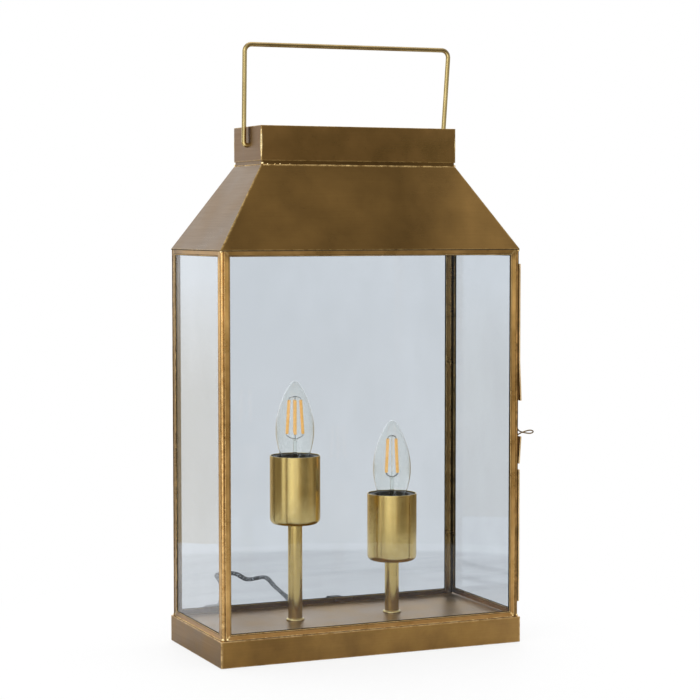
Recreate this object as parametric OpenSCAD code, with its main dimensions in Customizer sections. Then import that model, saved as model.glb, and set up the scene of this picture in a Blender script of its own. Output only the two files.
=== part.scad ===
// Lantern table lamp: a glazed brass cage on a low base, with a hinged glass door on its right side, a
// hipped roof with a collar, a wire carry handle, and two lamps of different height inside.
// X runs left to right, Y front to back and Z up. The origin is on the table under the base's middle.

/* [Base] */
// Width of the base, left to right
base_w = 292.8; // [240:0.1:400]
// Depth of the base, front to back
base_d = 136; // [120:1:220]
// Height of the floor plate's top above the table
base_h = 24; // [23:1:45]
// How far the base stands out past the cage all round
base_lip = 1.7; // [1.4:0.1:6]
// Sheet of the base, the roof and the collar
sheet_t = 0.8; // [0.6:0.1:1.2]
// Thickness of the soft pad that the lamp stands on
pad_t = 1.6; // [1.3:0.1:3]
// How far the pad stands out below the base's walls
pad_proud = 0.6; // [0.3:0.1:1.2]
// Thickness of the bottom cover
cover_t = 1; // [0.8:0.1:2]
// Width of the lugs that the bottom cover is screwed to
lug_w = 16; // [12:1:24]
// Thickness of the cover lugs
lug_t = 1.2; // [1:0.1:2]
// Diameter of the cover screws' thread
screw_d = 3; // [2.5:0.5:4]
// Length of the cover screws under their heads
screw_len = 6; // [4:1:9]

/* [Cage] */
// Height of the cage, from the floor plate to the eave
cage_h = 338.5; // [300:0.5:420]
// Diameter of the bead down each corner post
bead_d = 3.2; // [2.4:0.1:4]
// How far the glazing frames sit back from the bead's outside
frame_set = 0.3; // [0.1:0.1:1]
// Width of the strip of post that shows beside a bead
post_strip = 2.1; // [1.8:0.1:3]
// Thickness of the glass
glass_t = 2; // [1.8:0.1:3]
// Room at each face of a pane in its channel
glass_clear = 0.1; // [0.05:0.05:0.3]
// Room between a pane's edge and the bottom of its channel
pane_edge_clear = 0.4; // [0.2:0.1:1]
// Sheet of the glazing channels
channel_wall = 0.6; // [0.4:0.1:0.9]
// Width of the channels' faces round each pane
channel_face = 5; // [4:0.5:9]

/* [Door] */
// How far the door's face stands out past the posts
door_proud = 0.3; // [0.3:0.1:1]
// Gap between the door and the base, and between the door and the eave
door_gap_z = 0.8; // [0.5:0.1:2]
// Gap between the door's closing edge and its post
door_gap_y = 0.6; // [0.4:0.1:2]
// Gap between the door and the back right post
door_gap_x = 0.4; // [0.3:0.1:1]
// Thickness of the closing strips on the door
strip_t = 1.2; // [0.8:0.1:2]
// Width of the closing strips
strip_w = 9; // [8:0.5:14]
// Height of the closing strips' top above the floor plate
strip_top = 325; // [300:1:330]
// Height of the closing strips' bottom above the floor plate
strip_bottom = 14; // [5:1:40]
// Height of the upper strip's lower end above the floor plate
notch_top = 199.5; // [190:0.5:230]
// Height of the tab's upper end above the floor plate
notch_bottom = 166.5; // [150:0.5:172]
// Length of the tab under the pull
tab_len = 25; // [18:1:60]
// Gap between the tab and the lower strip
tab_gap = 5.5; // [2:0.5:12]
// Length over which a strip bows out round the pull's leg
flare_len = 36; // [20:1:60]
// Diameter of the pull's wire
pull_d = 1.2; // [0.9:0.1:1.6]
// How far the pull's loop reaches out from the door's face
pull_reach = 18; // [14:0.5:26]
// Length of a hinge, all three knuckles
hinge_len = 16; // [12:1:30]
// Distance from each hinge's middle to the end of the cage
hinge_inset = 47; // [20:1:90]
// Outer diameter of the hinge knuckles
knuckle_d = 3.4; // [3:0.1:3.6]
// Diameter of the hinge pins
hinge_pin_d = 1.6; // [1.2:0.1:2]
// Radial clearance of the hinge pins in the door's knuckles
pin_clear = 0.05; // [0.02:0.01:0.1]

/* [Roof] */
// Width of the roof collar, left to right
collar_w = 190.3; // [120:0.1:220]
// Depth of the roof collar, front to back
collar_d = 68.6; // [45:0.1:110]
// Height of the sloping roof
roof_rise = 74.7; // [50:0.1:120]
// How far the eave stands out past the cage's corner beads
eave_out = 0.4; // [0.1:0.1:5]
// Height of the roof's neck that shows under the collar
neck_show = 3.8; // [1:0.1:8]
// Height of the collar
collar_h = 31; // [25:1:60]
// Height of the neck that stands inside the collar
neck_in = 6; // [4:1:9]
// Width of the roof's return that rests on the cage
return_w = 5; // [3:0.5:9]

/* [Handle] */
// Diameter of the handle's wire
handle_d = 4.2; // [3:0.1:5]
// Height of the handle's pivots above the collar's lower edge
handle_pivot_up = 14.4; // [12:0.1:20]
// Height of the grip's middle above the pivots
handle_h = 90.7; // [60:0.1:140]
// Gap between the collar and each leg at its foot
handle_side_gap = 1.2; // [0.6:0.1:4]
// How far the right leg leans out at its top
handle_lean = 6.2; // [0:0.1:12]
// Length of the handle's ends inside the collar
handle_tuck = 7; // [4:0.5:14]
// Bend radius at the handle's top corners
handle_corner_r = 6.5; // [5:0.5:14]
// Radial clearance of the handle's ends in the collar
handle_clear = 0.15; // [0.1:0.05:0.3]

/* [Lamps] */
// Distance of the left lamp from the middle
left_x = 50; // [35:1:90]
// Distance of the right lamp from the middle
right_x = 47; // [35:1:90]
// Height of the left cup's underside above the floor plate
left_rise = 88.8; // [50:0.1:120]
// Height of the right cup's underside above the floor plate
right_rise = 49.2; // [30:0.1:90]
// Outer diameter of the stems
stem_d = 13.2; // [12.4:0.1:18]
// Wall of the stems
stem_wall = 0.9; // [0.6:0.1:1.2]
// Diameter of the foot flanges
foot_d = 17; // [15.5:0.5:28]
// Height of the foot flanges
foot_h = 2.2; // [1.5:0.1:5]
// Outer diameter of the threaded rods
rod_d = 10; // [9.4:0.1:10.6]
// Bore of the threaded rods
rod_bore = 7.6; // [6:0.1:8]
// Outer diameter of the cups
cup_d = 46; // [42:0.5:60]
// Height of the cups
cup_h = 62.6; // [60:0.1:75]
// Wall of the cups
cup_wall = 0.8; // [0.6:0.1:1.5]
// Rounding of the cups' lower edges
cup_round = 5; // [2:0.5:9]

/* [Bulbs] */
// Largest diameter of the candle bulbs
bulb_d = 35.2; // [33:0.1:37]
// Height of a bulb's glass above its cap
glass_h = 79; // [72:0.5:90]
// Wall of a bulb's glass
bulb_wall = 0.7; // [0.5:0.1:1]
// Outer diameter of the bulb cap's thread
cap_d = 13.9; // [13.5:0.1:14]
// Height of the bulb's cap
cap_h = 17; // [15:0.5:19]
// Length of the LED filaments
filament_len = 31; // [24:1:38]
// Diameter of the LED filaments
filament_d = 1.8; // [1.2:0.1:2.4]

/* [Cord] */
// Diameter of the flex
cord_d = 5.6; // [5:0.1:6]
// Room between one turn of the coil and the next
coil_gap = 0.6; // [0.5:0.1:1]
// Diameter of the coil at the middle of its turns
coil_mean_d = 60; // [56:1:66]
// Turns in the coil
coil_turns = 5.25; // [3.25:1:5.25]
// Thickness of the coil's tie
tie_t = 0.6; // [0.4:0.1:1]

/* [Switch and plug] */
// Length of the in-line switch
switch_len = 58; // [50:1:60]
// Width of the in-line switch
switch_w = 26; // [20:1:30]
// Height of the in-line switch
switch_h = 14.6; // [13.6:0.1:18]
// Length of the plug's body
plug_len = 36; // [30:1:38]
// Width of the plug's body at its face
plug_w = 35; // [30:1:36]
// Height of the plug's body
plug_h = 13.8; // [13.2:0.1:15]
// Diameter of the plug's pins
plug_pin_d = 4; // [3.9:0.1:4.1]
// Length of the plug's pins
plug_pin_len = 19; // [18:0.5:20]
// Distance between the plug's pins
plug_pin_pitch = 18.6; // [17.6:0.1:19.2]

/* [Hidden] */
$fn = 48;
through = 1;     // how far a cutter runs past what it cuts
seat = 0.1;      // gap between pieces that are soldered or clipped together

// Colours of the finishes
roof_brass = "#655230";
base_brass = "#80643a";
cage_brass = "#b8935a";
satin_brass = "#b89f5e";
wire_brass = "#c9b878";
clear_glass = [0.80, 0.85, 0.88, 0.35];
steel = "#b4b6b8";
black_plastic = "#1e1e1f";
flex_grey = "#3c4044";

// Base
wall_foot = pad_proud;
cover_top = pad_t + cover_t;
floor_under = base_h - sheet_t;
lug_x = base_w / 2 - sheet_t - lug_w / 2;
lug_y = base_d / 2 - sheet_t - lug_w / 2;
screw_head_d = screw_d * 1.85;
screw_head_h = pad_t - 0.5;
pad_inset = sheet_t + 1.5;

// Cage
cage_w = base_w - 2 * base_lip;
cage_d = base_d - 2 * base_lip;
channel_t = glass_t + 2 * glass_clear + 2 * channel_wall;
eave_z = base_h + cage_h;
post_reach = max(bead_d, frame_set + post_strip) + seat;   // from the cage's corner to the front frame
side_reach = frame_set + channel_t + seat;                 // from the cage's corner to the side frame
pane_inset = channel_wall + pane_edge_clear;

// Door
door_x = cage_w / 2 + door_proud;                    // outside of the door's face
door_in_x = door_x - channel_t;
door_y0 = -cage_d / 2 + frame_set + channel_t + door_gap_y;
door_y1 = cage_d / 2;
door_z0 = base_h + door_gap_z;
door_z1 = eave_z - door_gap_z;
post_x1 = door_in_x - door_gap_x;                    // back right post, beside the door's edge
post_x0 = post_x1 - post_strip - frame_set;
knuckle_r = knuckle_d / 2;
hinge_out = knuckle_r + 0.3;                         // hinge axis behind the door's back edge
hinge_x = door_x - 2;
hinge_y = door_y1 + hinge_out;
hinge_zs = [base_h + hinge_inset, eave_z - hinge_inset];
knuckle_gap = 0.15;
knuckle_len = (hinge_len - 2 * knuckle_gap) / 3;
leaf_t = 0.8;
strip_y0 = -cage_d / 2 + 0.2;
pull_clear = 0.1;
pull_x = door_x + pull_clear + pull_d / 2;
pull_y = strip_y0 + strip_w / 2;
pull_z = base_h + notch_bottom + 3.5;
flare = pull_d + 0.45;

// Roof
eave_w = cage_w + 2 * eave_out;
eave_d = cage_d + 2 * eave_out;
roof_top = eave_z + roof_rise;
collar_z = roof_top + neck_show;
neck_w = collar_w - 2 * (sheet_t + seat);
neck_d = collar_d - 2 * (sheet_t + seat);
slope_w = sheet_t * sqrt(1 + pow((eave_w - collar_w) / 2 / roof_rise, 2));
slope_d = sheet_t * sqrt(1 + pow((eave_d - collar_d) / 2 / roof_rise, 2));

// Handle
handle_z = collar_z + handle_pivot_up;
handle_leg_x = collar_w / 2 + handle_side_gap + handle_d / 2;
handle_foot_r = handle_d / 2 + 1;
handle_hole_r = handle_d / 2 + handle_clear;

// Lamps, with heights counted from the cup's underside
rod_r = rod_d / 2;
rod_hole_r = rod_r + 0.15;
rod_below = 8;
rod_above = 6;
nut_af = rod_d + 4;
nut_h = 2.6;
washer_d = 18;
washer_t = 1;
cup_floor = cup_wall;
cup_in_r = cup_d / 2 - cup_wall;
holder_z0 = cup_floor + nut_h + seat;
holder_z1 = cup_h - 0.8;
holder_r = 14;
holder_rim_r = cup_in_r - 0.5;
holder_rim_t = 3;
holder_mouth_r = bulb_d * 0.465;
cap_clear = 0.35;
shell_t = 0.5;
cap_r = cap_d / 2;
bulb_z = cup_h - 11;                                 // top of the bulb's cap
lip_z = bulb_z - 3.6;
tip_z = bulb_z - cap_h - 4;                          // lowest point of the bulb
glass_neck_r = bulb_d * 0.267;
glass_profile = [[glass_neck_r, 0], [bulb_d * 0.42, glass_h * 0.14], [bulb_d * 0.5, glass_h * 0.4],
    [bulb_d * 0.466, glass_h * 0.61], [bulb_d * 0.273, glass_h * 0.84], [0, glass_h]];
thread_pitch = 2.82;

// Entry of the flex
relief_z = 14.5;
relief_len = 22;
relief_neck_r = 5;
relief_flange_r = 7;
relief_flange_t = 2;
cord_r = cord_d / 2;
cord_bore_r = cord_r + 0.1;
wall_y = base_d / 2;
block_w = 24;
block_d = 17;
block_h = 13;
block_y = 12;
clamp_y = 44;
clamp_w = 22;
clamp_len = 8;
clamp_under = 2;

// The flex's route, along its middle. It runs out of the back, turns behind the lamp and comes back.
tie_w = 12;
coil_z = tie_t + 0.2 + cord_r;
coil_mid = [52, 114];
coil_pitch = cord_d + coil_gap;
coil_layer_turns = coil_turns / 2;
coil_out_r = coil_mean_d / 2 + coil_pitch * coil_layer_turns / 2;
coil_start = coil_mid.y - coil_out_r;
coil_end = coil_mid.x + coil_out_r;
switch_x = -74;
switch_y0 = 94;
switch_y1 = switch_y0 + switch_len;
switch_cord_z = 7;
plug_x = 120;
plug_rear = 127;
plug_z = plug_h / 2;
cord_points = [[0, 29.5, relief_z], [0, 92, relief_z], [0, 98, relief_z], [1.5, 113, 11],
    [5.5, 131, 6.2], [12, 155, 3.1], [27.5, 213, 2.9], [38.5, 276, 3.2], [42, 301, 5.2],
    [41.2, 315, 6.8], [34.6, 324, 4.8], [28.8, 334, 3], [25.5, 342.6, 4.2], [21.6, 350.2, 6.2],
    [14.8, 354.8, 6.9], [6.6, 354, 7], [0.8, 348.4, 6.6], [-1.8, 339, 5.4], [-10, 303, 3],
    [-39, 226, 2.9], [-54.6, 194, 3.6], [-69.6, 168.6, 6.4], [switch_x, switch_y1 + 5, switch_cord_z],
    [switch_x, switch_y1, switch_cord_z]];
after_switch = [[switch_x, switch_y0, switch_cord_z], [switch_x, switch_y0 - 5, switch_cord_z],
    [-72.4, 82.4, 6.2], [-68.2, 77.2, 5.2], [-61.6, 74.2, 3.9], [-25, 72.6, 2.9],
    [coil_mid.x - 10, coil_start, coil_z], [coil_mid.x - 4, coil_start, coil_z]];
after_coil = [[coil_end, coil_mid.y + 4, coil_z + coil_pitch], [coil_end, 126, coil_z + coil_pitch],
    [92, 137.4, 9.4], [100, 145, 8.6], [111.4, 144.4, 7.8], [119, 136.4, 7.2],
    [plug_x, plug_rear + 3, plug_z], [plug_x, plug_rear, plug_z]];

// ---------- shared shapes ----------

// A smooth curve through every point of p, with n steps from each to the next
function along(p, i, t) =
    let (a = p[max(i - 1, 0)], b = p[i], c = p[i + 1], d = p[min(i + 2, len(p) - 1)])
    0.5 * (2 * b + (c - a) * t + (2 * a - 5 * b + 4 * c - d) * t * t
        + (3 * b - a - 3 * c + d) * t * t * t);
function smooth(p, n) = concat(
    [for (i = [0:len(p) - 2]) for (k = [0:n - 1]) along(p, i, k / n)], [p[len(p) - 1]]);

// The flex's middle line: straight first and last runs, smooth between them
function run(p, n) = concat([p[0]], smooth([for (i = [1:len(p) - 2]) p[i]], n), [p[len(p) - 1]]);

function unit(v) = v / norm(v);
function heading(p, i) = unit(p[min(i + 1, len(p) - 1)] - p[max(i - 1, 0)]);

// A closed tube of radius r along the points p; side is a direction that the tube never runs in
module tube(p, r, sides, side = [0, 0, 1]) {
    rings = [for (i = [0:len(p) - 1])
        let (t = heading(p, i), u = unit(cross(t, side)), v = cross(t, u))
        for (k = [0:sides - 1]) p[i] + r * (cos(k * 360 / sides) * u + sin(k * 360 / sides) * v)];
    last = (len(p) - 1) * sides;
    walls = [for (i = [0:len(p) - 2]) for (k = [0:sides - 1])
        let (a = i * sides + k, b = i * sides + (k + 1) % sides)
        for (f = [[a, a + sides, b], [b, a + sides, b + sides]]) f];
    start = [for (k = [1:sides - 2]) [0, k, k + 1]];
    end = [for (k = [1:sides - 2]) [last, last + k + 1, last + k]];
    polyhedron(points = rings, faces = concat(walls, start, end));
}

// A straight round bar from a to b
module bar(a, b, r) {
    d = b - a;
    translate(a)
        rotate([0, acos(d.z / norm(d)), atan2(d.y, d.x)])
            cylinder(r = r, h = norm(d));
}

// The middle line of a wire in the XZ plane, bent with radii rb at the corners between p's ends
function wire_turn(p, i) = let (u = p[i] - p[i - 1], v = p[i + 1] - p[i])
    atan2(u.x * v.y - u.y * v.x, u * v);
function wire_bend(p, rb, i, n) =
    let (u = unit(p[i] - p[i - 1]), turn = wire_turn(p, i), way = sign(turn),
        from = p[i] - u * rb * tan(abs(turn) / 2), mid = from + rb * way * [-u.y, u.x])
    [for (k = [0:n]) let (a = turn * k / n, d = from - mid)
        mid + [d.x * cos(a) - d.y * sin(a), d.x * sin(a) + d.y * cos(a)]];
function wire_line(p, rb, n) = concat([p[0]],
    [for (i = [1:len(p) - 2]) for (q = wire_bend(p, rb[i - 1], i, n)) q], [p[len(p) - 1]]);

// A box centred on the Z axis, from height z0 to z1
module block(w, d, z0, z1) {
    translate([-w / 2, -d / 2, z0])
        cube([w, d, z1 - z0]);
}

// A rectangle with round corners, centred
module round_rect(w, l, r) {
    square([w - 2 * r, l], center = true);
    square([w, l - 2 * r], center = true);
    for (sx = [-1, 1], sy = [-1, 1])
        translate([sx * (w / 2 - r), sy * (l / 2 - r)])
            circle(r = r);
}

// A solid with four sloping sides, w0 by d0 at the bottom and w1 by d1 at height h
module hipped(w0, d0, w1, d1, h) {
    intersection() {
        rotate([90, 0, 0])
            translate([0, 0, -d0])
                linear_extrude(2 * d0)
                    polygon([[-w0 / 2, 0], [w0 / 2, 0], [w1 / 2, h], [-w1 / 2, h]]);
        rotate([90, 0, 90])
            translate([0, 0, -w0])
                linear_extrude(2 * w0)
                    polygon([[-d0 / 2, 0], [d0 / 2, 0], [d1 / 2, h], [-d1 / 2, h]]);
    }
}

// ---------- base ----------

module at_lugs() {
    for (sx = [-1, 1], sy = [-1, 1])
        translate([sx * lug_x, sy * lug_y, 0])
            children();
}

module base_tray() {
    color(base_brass)
    difference() {
        union() {
            difference() {
                block(base_w, base_d, wall_foot, base_h);
                block(base_w - 2 * sheet_t, base_d - 2 * sheet_t, wall_foot - through, floor_under);
            }
            at_lugs()
                block(lug_w, lug_w, cover_top, cover_top + lug_t);
        }
        for (x = [-left_x, right_x])
            translate([x, 0, floor_under - through])
                cylinder(r = rod_hole_r, h = sheet_t + 2 * through);
        translate([0, wall_y + through, relief_z])
            rotate([90, 0, 0])
                cylinder(r = relief_neck_r + seat, h = sheet_t + 2 * through);
        at_lugs()
            translate([0, 0, cover_top - through])
                cylinder(d = screw_d + 0.1, h = lug_t + 2 * through);
    }
}

module bottom_cover() {
    color(steel)
    difference() {
        block(base_w - 2 * (sheet_t + 0.3), base_d - 2 * (sheet_t + 0.3), pad_t, cover_top);
        at_lugs()
            translate([0, 0, pad_t - through])
                cylinder(d = screw_d + 0.4, h = cover_t + 2 * through);
    }
}

module cover_screws() {
    color(steel)
    at_lugs() {
        translate([0, 0, pad_t - screw_head_h])
            cylinder(d = screw_head_d, h = screw_head_h);
        translate([0, 0, pad_t])
            cylinder(d = screw_d, h = screw_len);
    }
}

module base_pad() {
    color("#2b2b2b")
    difference() {
        block(base_w - 2 * pad_inset, base_d - 2 * pad_inset, 0, pad_t);
        at_lugs()
            translate([0, 0, -through])
                cylinder(d = screw_head_d + 3, h = pad_t + 2 * through);
    }
}

// ---------- cage ----------

// One corner post, drawn for the front left corner: a bead and the strip of sheet beside it
module post() {
    translate([bead_d / 2, bead_d / 2, 0])
        cylinder(d = bead_d, h = cage_h);
    translate([frame_set, bead_d / 2, 0])
        cube([post_strip, frame_set + channel_t - bead_d / 2, cage_h]);
}

module corner_posts() {
    color(cage_brass)
    translate([0, 0, base_h]) {
        for (way = [[-1, -1], [1, -1], [-1, 1]])
            translate([way.x * cage_w / 2, way.y * cage_d / 2, 0])
                mirror([way.x > 0 ? 1 : 0, 0, 0])
                    mirror([0, way.y > 0 ? 1 : 0, 0])
                        post();
        translate([post_x0, cage_d / 2 - frame_set - channel_t, 0])
            cube([post_x1 - post_x0, channel_t, cage_h]);
    }
}

// A frame of folded channel, w by h, in the XZ plane, with its outer face at y = 0
module channel_frame(w, h) {
    difference() {
        cube([w, channel_t, h]);
        translate([channel_face, -through, channel_face])
            cube([w - 2 * channel_face, channel_t + 2 * through, h - 2 * channel_face]);
        translate([channel_wall, channel_wall, channel_wall])
            cube([w - 2 * channel_wall, channel_t - 2 * channel_wall, h - 2 * channel_wall]);
    }
}

// The pane that fits the frame of the same size
module pane(w, h) {
    translate([pane_inset, channel_wall + glass_clear, pane_inset])
        cube([w - 2 * pane_inset, glass_t, h - 2 * pane_inset]);
}

front_len = cage_w - 2 * post_reach;
back_len = post_x0 - seat + cage_w / 2 - post_reach;
side_len = cage_d - 2 * side_reach;
door_len = door_y1 - door_y0;

module at_front() {
    translate([-cage_w / 2 + post_reach, -cage_d / 2 + frame_set, base_h])
        children();
}

module at_back() {
    translate([-cage_w / 2 + post_reach, cage_d / 2 - frame_set - channel_t, base_h])
        children();
}

module at_left() {
    translate([-cage_w / 2 + frame_set + channel_t, -cage_d / 2 + side_reach, base_h])
        rotate([0, 0, 90])
            children();
}

module at_door() {
    translate([door_x, door_y0, door_z0])
        rotate([0, 0, 90])
            children();
}

module front_frame() { color(cage_brass) at_front() channel_frame(front_len, cage_h); }
module front_pane() { color(clear_glass) at_front() pane(front_len, cage_h); }
module back_frame() { color(cage_brass) at_back() channel_frame(back_len, cage_h); }
module back_pane() { color(clear_glass) at_back() pane(back_len, cage_h); }
module left_frame() { color(cage_brass) at_left() channel_frame(side_len, cage_h); }
module left_pane() { color(clear_glass) at_left() pane(side_len, cage_h); }

// ---------- door ----------

module door_frame() { color(cage_brass) at_door() channel_frame(door_len, door_z1 - door_z0); }
module door_pane() { color(clear_glass) at_door() pane(door_len, door_z1 - door_z0); }

// A strip on the door's face from z0 to z1, bowed out at one end where the pull's leg lies behind it
module strip(z0, z1, bowed) {
    long = min(flare_len, z1 - z0);
    profile = bowed == "low"
        ? [[0, z1], [0, z0 + long], [flare, z0], [flare + strip_t, z0], [strip_t, z0 + long], [strip_t, z1]]
        : [[0, z0], [0, z1 - long], [flare, z1], [flare + strip_t, z1], [strip_t, z1 - long], [strip_t, z0]];
    translate([door_x, strip_y0 + strip_w, base_h])
        rotate([90, 0, 0])
            linear_extrude(strip_w)
                polygon(profile);
}

module door_strips() {
    color(cage_brass) {
        strip(notch_top, strip_top, "low");
        strip(notch_bottom - tab_len, notch_bottom, "high");
        translate([door_x, strip_y0, base_h + strip_bottom])
            cube([strip_t, strip_w, notch_bottom - tab_len - tab_gap - strip_bottom]);
    }
}

// A hinge leaf's knuckle, k = 0 for the lowest of three
module knuckle(k, bore_r) {
    translate([hinge_x, hinge_y, -hinge_len / 2 + k * (knuckle_len + knuckle_gap)])
        difference() {
            children();
            translate([0, 0, -through])
                cylinder(r = bore_r, h = knuckle_len + 2 * through);
        }
}

module door_hinge_leaves() {
    color(satin_brass)
    for (z = hinge_zs)
        translate([0, 0, z])
            knuckle(1, hinge_pin_d / 2 + pin_clear)
                union() {
                    cylinder(r = knuckle_r, h = knuckle_len);
                    translate([-knuckle_r + 0.2, -hinge_out, 0])
                        cube([2 * knuckle_r - 0.4, hinge_out, knuckle_len]);
                }
}

module post_hinge_leaves() {
    leaf_y = -knuckle_r;
    leaf_in = channel_face - 0.4;
    back_y = cage_d / 2 - frame_set - hinge_y;
    color(satin_brass)
    for (z = hinge_zs)
        translate([0, 0, z])
            for (k = [0, 2])
                knuckle(k, hinge_pin_d / 2 + pin_clear / 2)
                    union() {
                        cylinder(r = knuckle_r, h = knuckle_len);
                        translate([post_x0 - leaf_in - hinge_x, leaf_y, 0])
                            cube([hinge_x - post_x0 + leaf_in, leaf_t, knuckle_len]);
                        translate([post_x0 - leaf_in - hinge_x, back_y, 0])
                            cube([post_x1 - post_x0 + leaf_in, leaf_y - back_y + leaf_t / 2, knuckle_len]);
                    }
}

module hinge_pins() {
    color(steel)
    for (z = hinge_zs)
        translate([hinge_x, hinge_y, z - hinge_len / 2 - 0.4]) {
            cylinder(d = hinge_pin_d, h = hinge_len + 0.8);
            cylinder(d = hinge_pin_d + 0.8, h = 0.4 - 0.05);
        }
}

// The pull: two upright legs tucked behind the strips, crossing into a loop that stands out
module door_pull() {
    r = pull_d / 2;
    cross_x = pull_reach * 0.36;
    loop_x = pull_reach - pull_x + door_x - r;
    half = 1.35;
    legs_up = base_h + notch_top + 5;
    legs_down = base_h + notch_bottom - 4;
    wire = [[0, 0, 4.5], [0.4, 0, 3.2], [2, 0.2, 1.4], [cross_x, 0.7, -0.1], [loop_x * 0.68, 0.3, -half],
        [loop_x * 0.9, 0, -half * 0.9], [loop_x, 0, 0], [loop_x * 0.9, 0, half * 0.9],
        [loop_x * 0.68, -0.3, half], [cross_x, -0.7, 0.1], [2, -0.2, -1.4], [0.4, 0, -2.4], [0, 0, -3]];
    color(satin_brass)
    translate([pull_x, pull_y, 0]) {
        translate([0, 0, pull_z + 4.3])
            cylinder(r = r, h = legs_up - pull_z - 4.3);
        translate([0, 0, legs_down])
            cylinder(r = r, h = pull_z - 2.8 - legs_down);
        translate([0, 0, pull_z])
            tube(smooth(wire, 3), r, 8, [0, 1, 0]);
    }
}

// ---------- roof ----------

module roof() {
    inner_h = roof_rise - sheet_t;
    color(roof_brass)
    difference() {
        union() {
            translate([0, 0, eave_z])
                hipped(eave_w, eave_d, collar_w, collar_d, roof_rise);
            block(neck_w, neck_d, roof_top - sheet_t, collar_z + neck_in);
        }
        intersection() {
            translate([0, 0, eave_z])
                hipped(eave_w - 2 * slope_w, eave_d - 2 * slope_d, collar_w - 2 * slope_w,
                    collar_d - 2 * slope_d, roof_rise);
            block(eave_w, eave_d, eave_z + sheet_t, eave_z + inner_h);
        }
        block(eave_w - 2 * return_w, eave_d - 2 * return_w, eave_z - through, eave_z + 2 * sheet_t);
        block(neck_w - 2 * sheet_t, neck_d - 2 * sheet_t, roof_top - 2 * sheet_t,
            collar_z + neck_in + through);
    }
}

module roof_collar() {
    color(roof_brass)
    difference() {
        block(collar_w, collar_d, collar_z, collar_z + collar_h);
        block(collar_w - 2 * sheet_t, collar_d - 2 * sheet_t, collar_z - through,
            collar_z + collar_h + through);
        translate([-collar_w, 0, handle_z])
            rotate([0, 90, 0])
                cylinder(r = handle_hole_r, h = 2 * collar_w);
    }
}

module collar_lid() {
    top = collar_z + collar_h;
    color(roof_brass)
    block(collar_w - 2 * (sheet_t + seat), collar_d - 2 * (sheet_t + seat), top - sheet_t, top);
}

// ---------- handle ----------

module carry_handle() {
    end_x = collar_w / 2 - handle_tuck;
    pivot_x = handle_leg_x - handle_foot_r;
    line = wire_line([[-pivot_x + 0.8, 0], [-handle_leg_x, 0], [-handle_leg_x + 1.2, handle_h - 1],
            [handle_leg_x + handle_lean, handle_h], [handle_leg_x, 0], [pivot_x - 0.8, 0]],
        [handle_foot_r - 0.1, handle_corner_r, handle_corner_r, handle_foot_r - 0.1], 7);
    color(wire_brass)
    translate([0, 0, handle_z]) {
        for (x = [-pivot_x, end_x])
            translate([x, 0, 0])
                rotate([0, 90, 0])
                    cylinder(d = handle_d, h = pivot_x - end_x);
        tube([for (q = line) [q.x, 0, q.y]], handle_d / 2 - 0.02, 12, [0, 1, 0]);
    }
}

// ---------- lamps ----------

module stem(rise) {
    color(satin_brass)
    translate([0, 0, base_h + foot_h])
        difference() {
            cylinder(d = stem_d, h = rise - foot_h);
            translate([0, 0, -through])
                cylinder(d = stem_d - 2 * stem_wall, h = rise - foot_h + 2 * through);
        }
}

module foot() {
    color(satin_brass)
    translate([0, 0, base_h])
        rotate_extrude()
            polygon([[rod_hole_r, 0], [foot_d / 2, 0], [foot_d / 2, foot_h * 0.6],
                [foot_d / 2 - foot_h * 0.4, foot_h], [rod_hole_r, foot_h]]);
}

module rod(rise) {
    color(steel)
    translate([0, 0, floor_under - rod_below])
        difference() {
            cylinder(r = rod_r, h = sheet_t + rod_below + rise + rod_above);
            translate([0, 0, -through])
                cylinder(d = rod_bore, h = sheet_t + rod_below + rise + rod_above + 2 * through);
        }
}

module nut() {
    difference() {
        cylinder(d = nut_af / cos(30), h = nut_h, $fn = 6);
        translate([0, 0, -through])
            cylinder(r = rod_r + 0.05, h = nut_h + 2 * through);
    }
}

module nuts(rise) {
    color(steel) {
        translate([0, 0, floor_under - washer_t - nut_h])
            nut();
        translate([0, 0, floor_under - washer_t])
            difference() {
                cylinder(d = washer_d, h = washer_t);
                translate([0, 0, -through])
                    cylinder(r = rod_hole_r, h = washer_t + 2 * through);
            }
        translate([0, 0, base_h + rise + cup_floor])
            nut();
    }
}

// The quarter arc of a rounded lower edge whose outside radius is r and rounding is c
function lower_edge(r, c, z) = [for (a = [0:15:90]) [r - c + c * sin(a), z + c - c * cos(a)]];

module cup(rise) {
    outside = lower_edge(cup_d / 2, cup_round, 0);
    inside = lower_edge(cup_in_r, cup_round - cup_wall, cup_wall);
    color(satin_brass)
    translate([0, 0, base_h + rise])
        rotate_extrude($fn = 96)
            polygon(concat([[rod_hole_r, 0]], outside, [[cup_d / 2, cup_h], [cup_in_r, cup_h]],
                [for (i = [len(inside) - 1:-1:0]) inside[i]], [[rod_hole_r, cup_wall]]));
}

module holder(rise) {
    shell_r = cap_r + cap_clear + shell_t + seat;
    color(black_plastic)
    translate([0, 0, base_h + rise])
        rotate_extrude()
            polygon([[rod_r + 0.3, holder_z0], [holder_r, holder_z0], [holder_r, lip_z],
                [holder_mouth_r + 1.4, holder_z1 - holder_rim_t], [holder_rim_r, holder_z1 - holder_rim_t],
                [holder_rim_r, holder_z1], [holder_mouth_r, holder_z1], [glass_neck_r + 1.8, lip_z],
                [shell_r, lip_z], [shell_r, tip_z - 2], [rod_r + 0.3, tip_z - 2]]);
}

// The threaded shell and the bottom contact inside the lampholder
module contacts(rise) {
    shell_r = cap_r + cap_clear + shell_t;
    color(satin_brass)
    translate([0, 0, base_h + rise]) {
        translate([0, 0, tip_z])
            difference() {
                cylinder(r = shell_r, h = lip_z - 0.4 - tip_z);
                translate([0, 0, -through])
                    cylinder(r = cap_r + cap_clear, h = lip_z - tip_z + through);
            }
        translate([0, 0, tip_z - 1.6])
            cylinder(r = shell_r - 0.4, h = 1.2);
    }
}

// ---------- bulbs ----------

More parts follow.
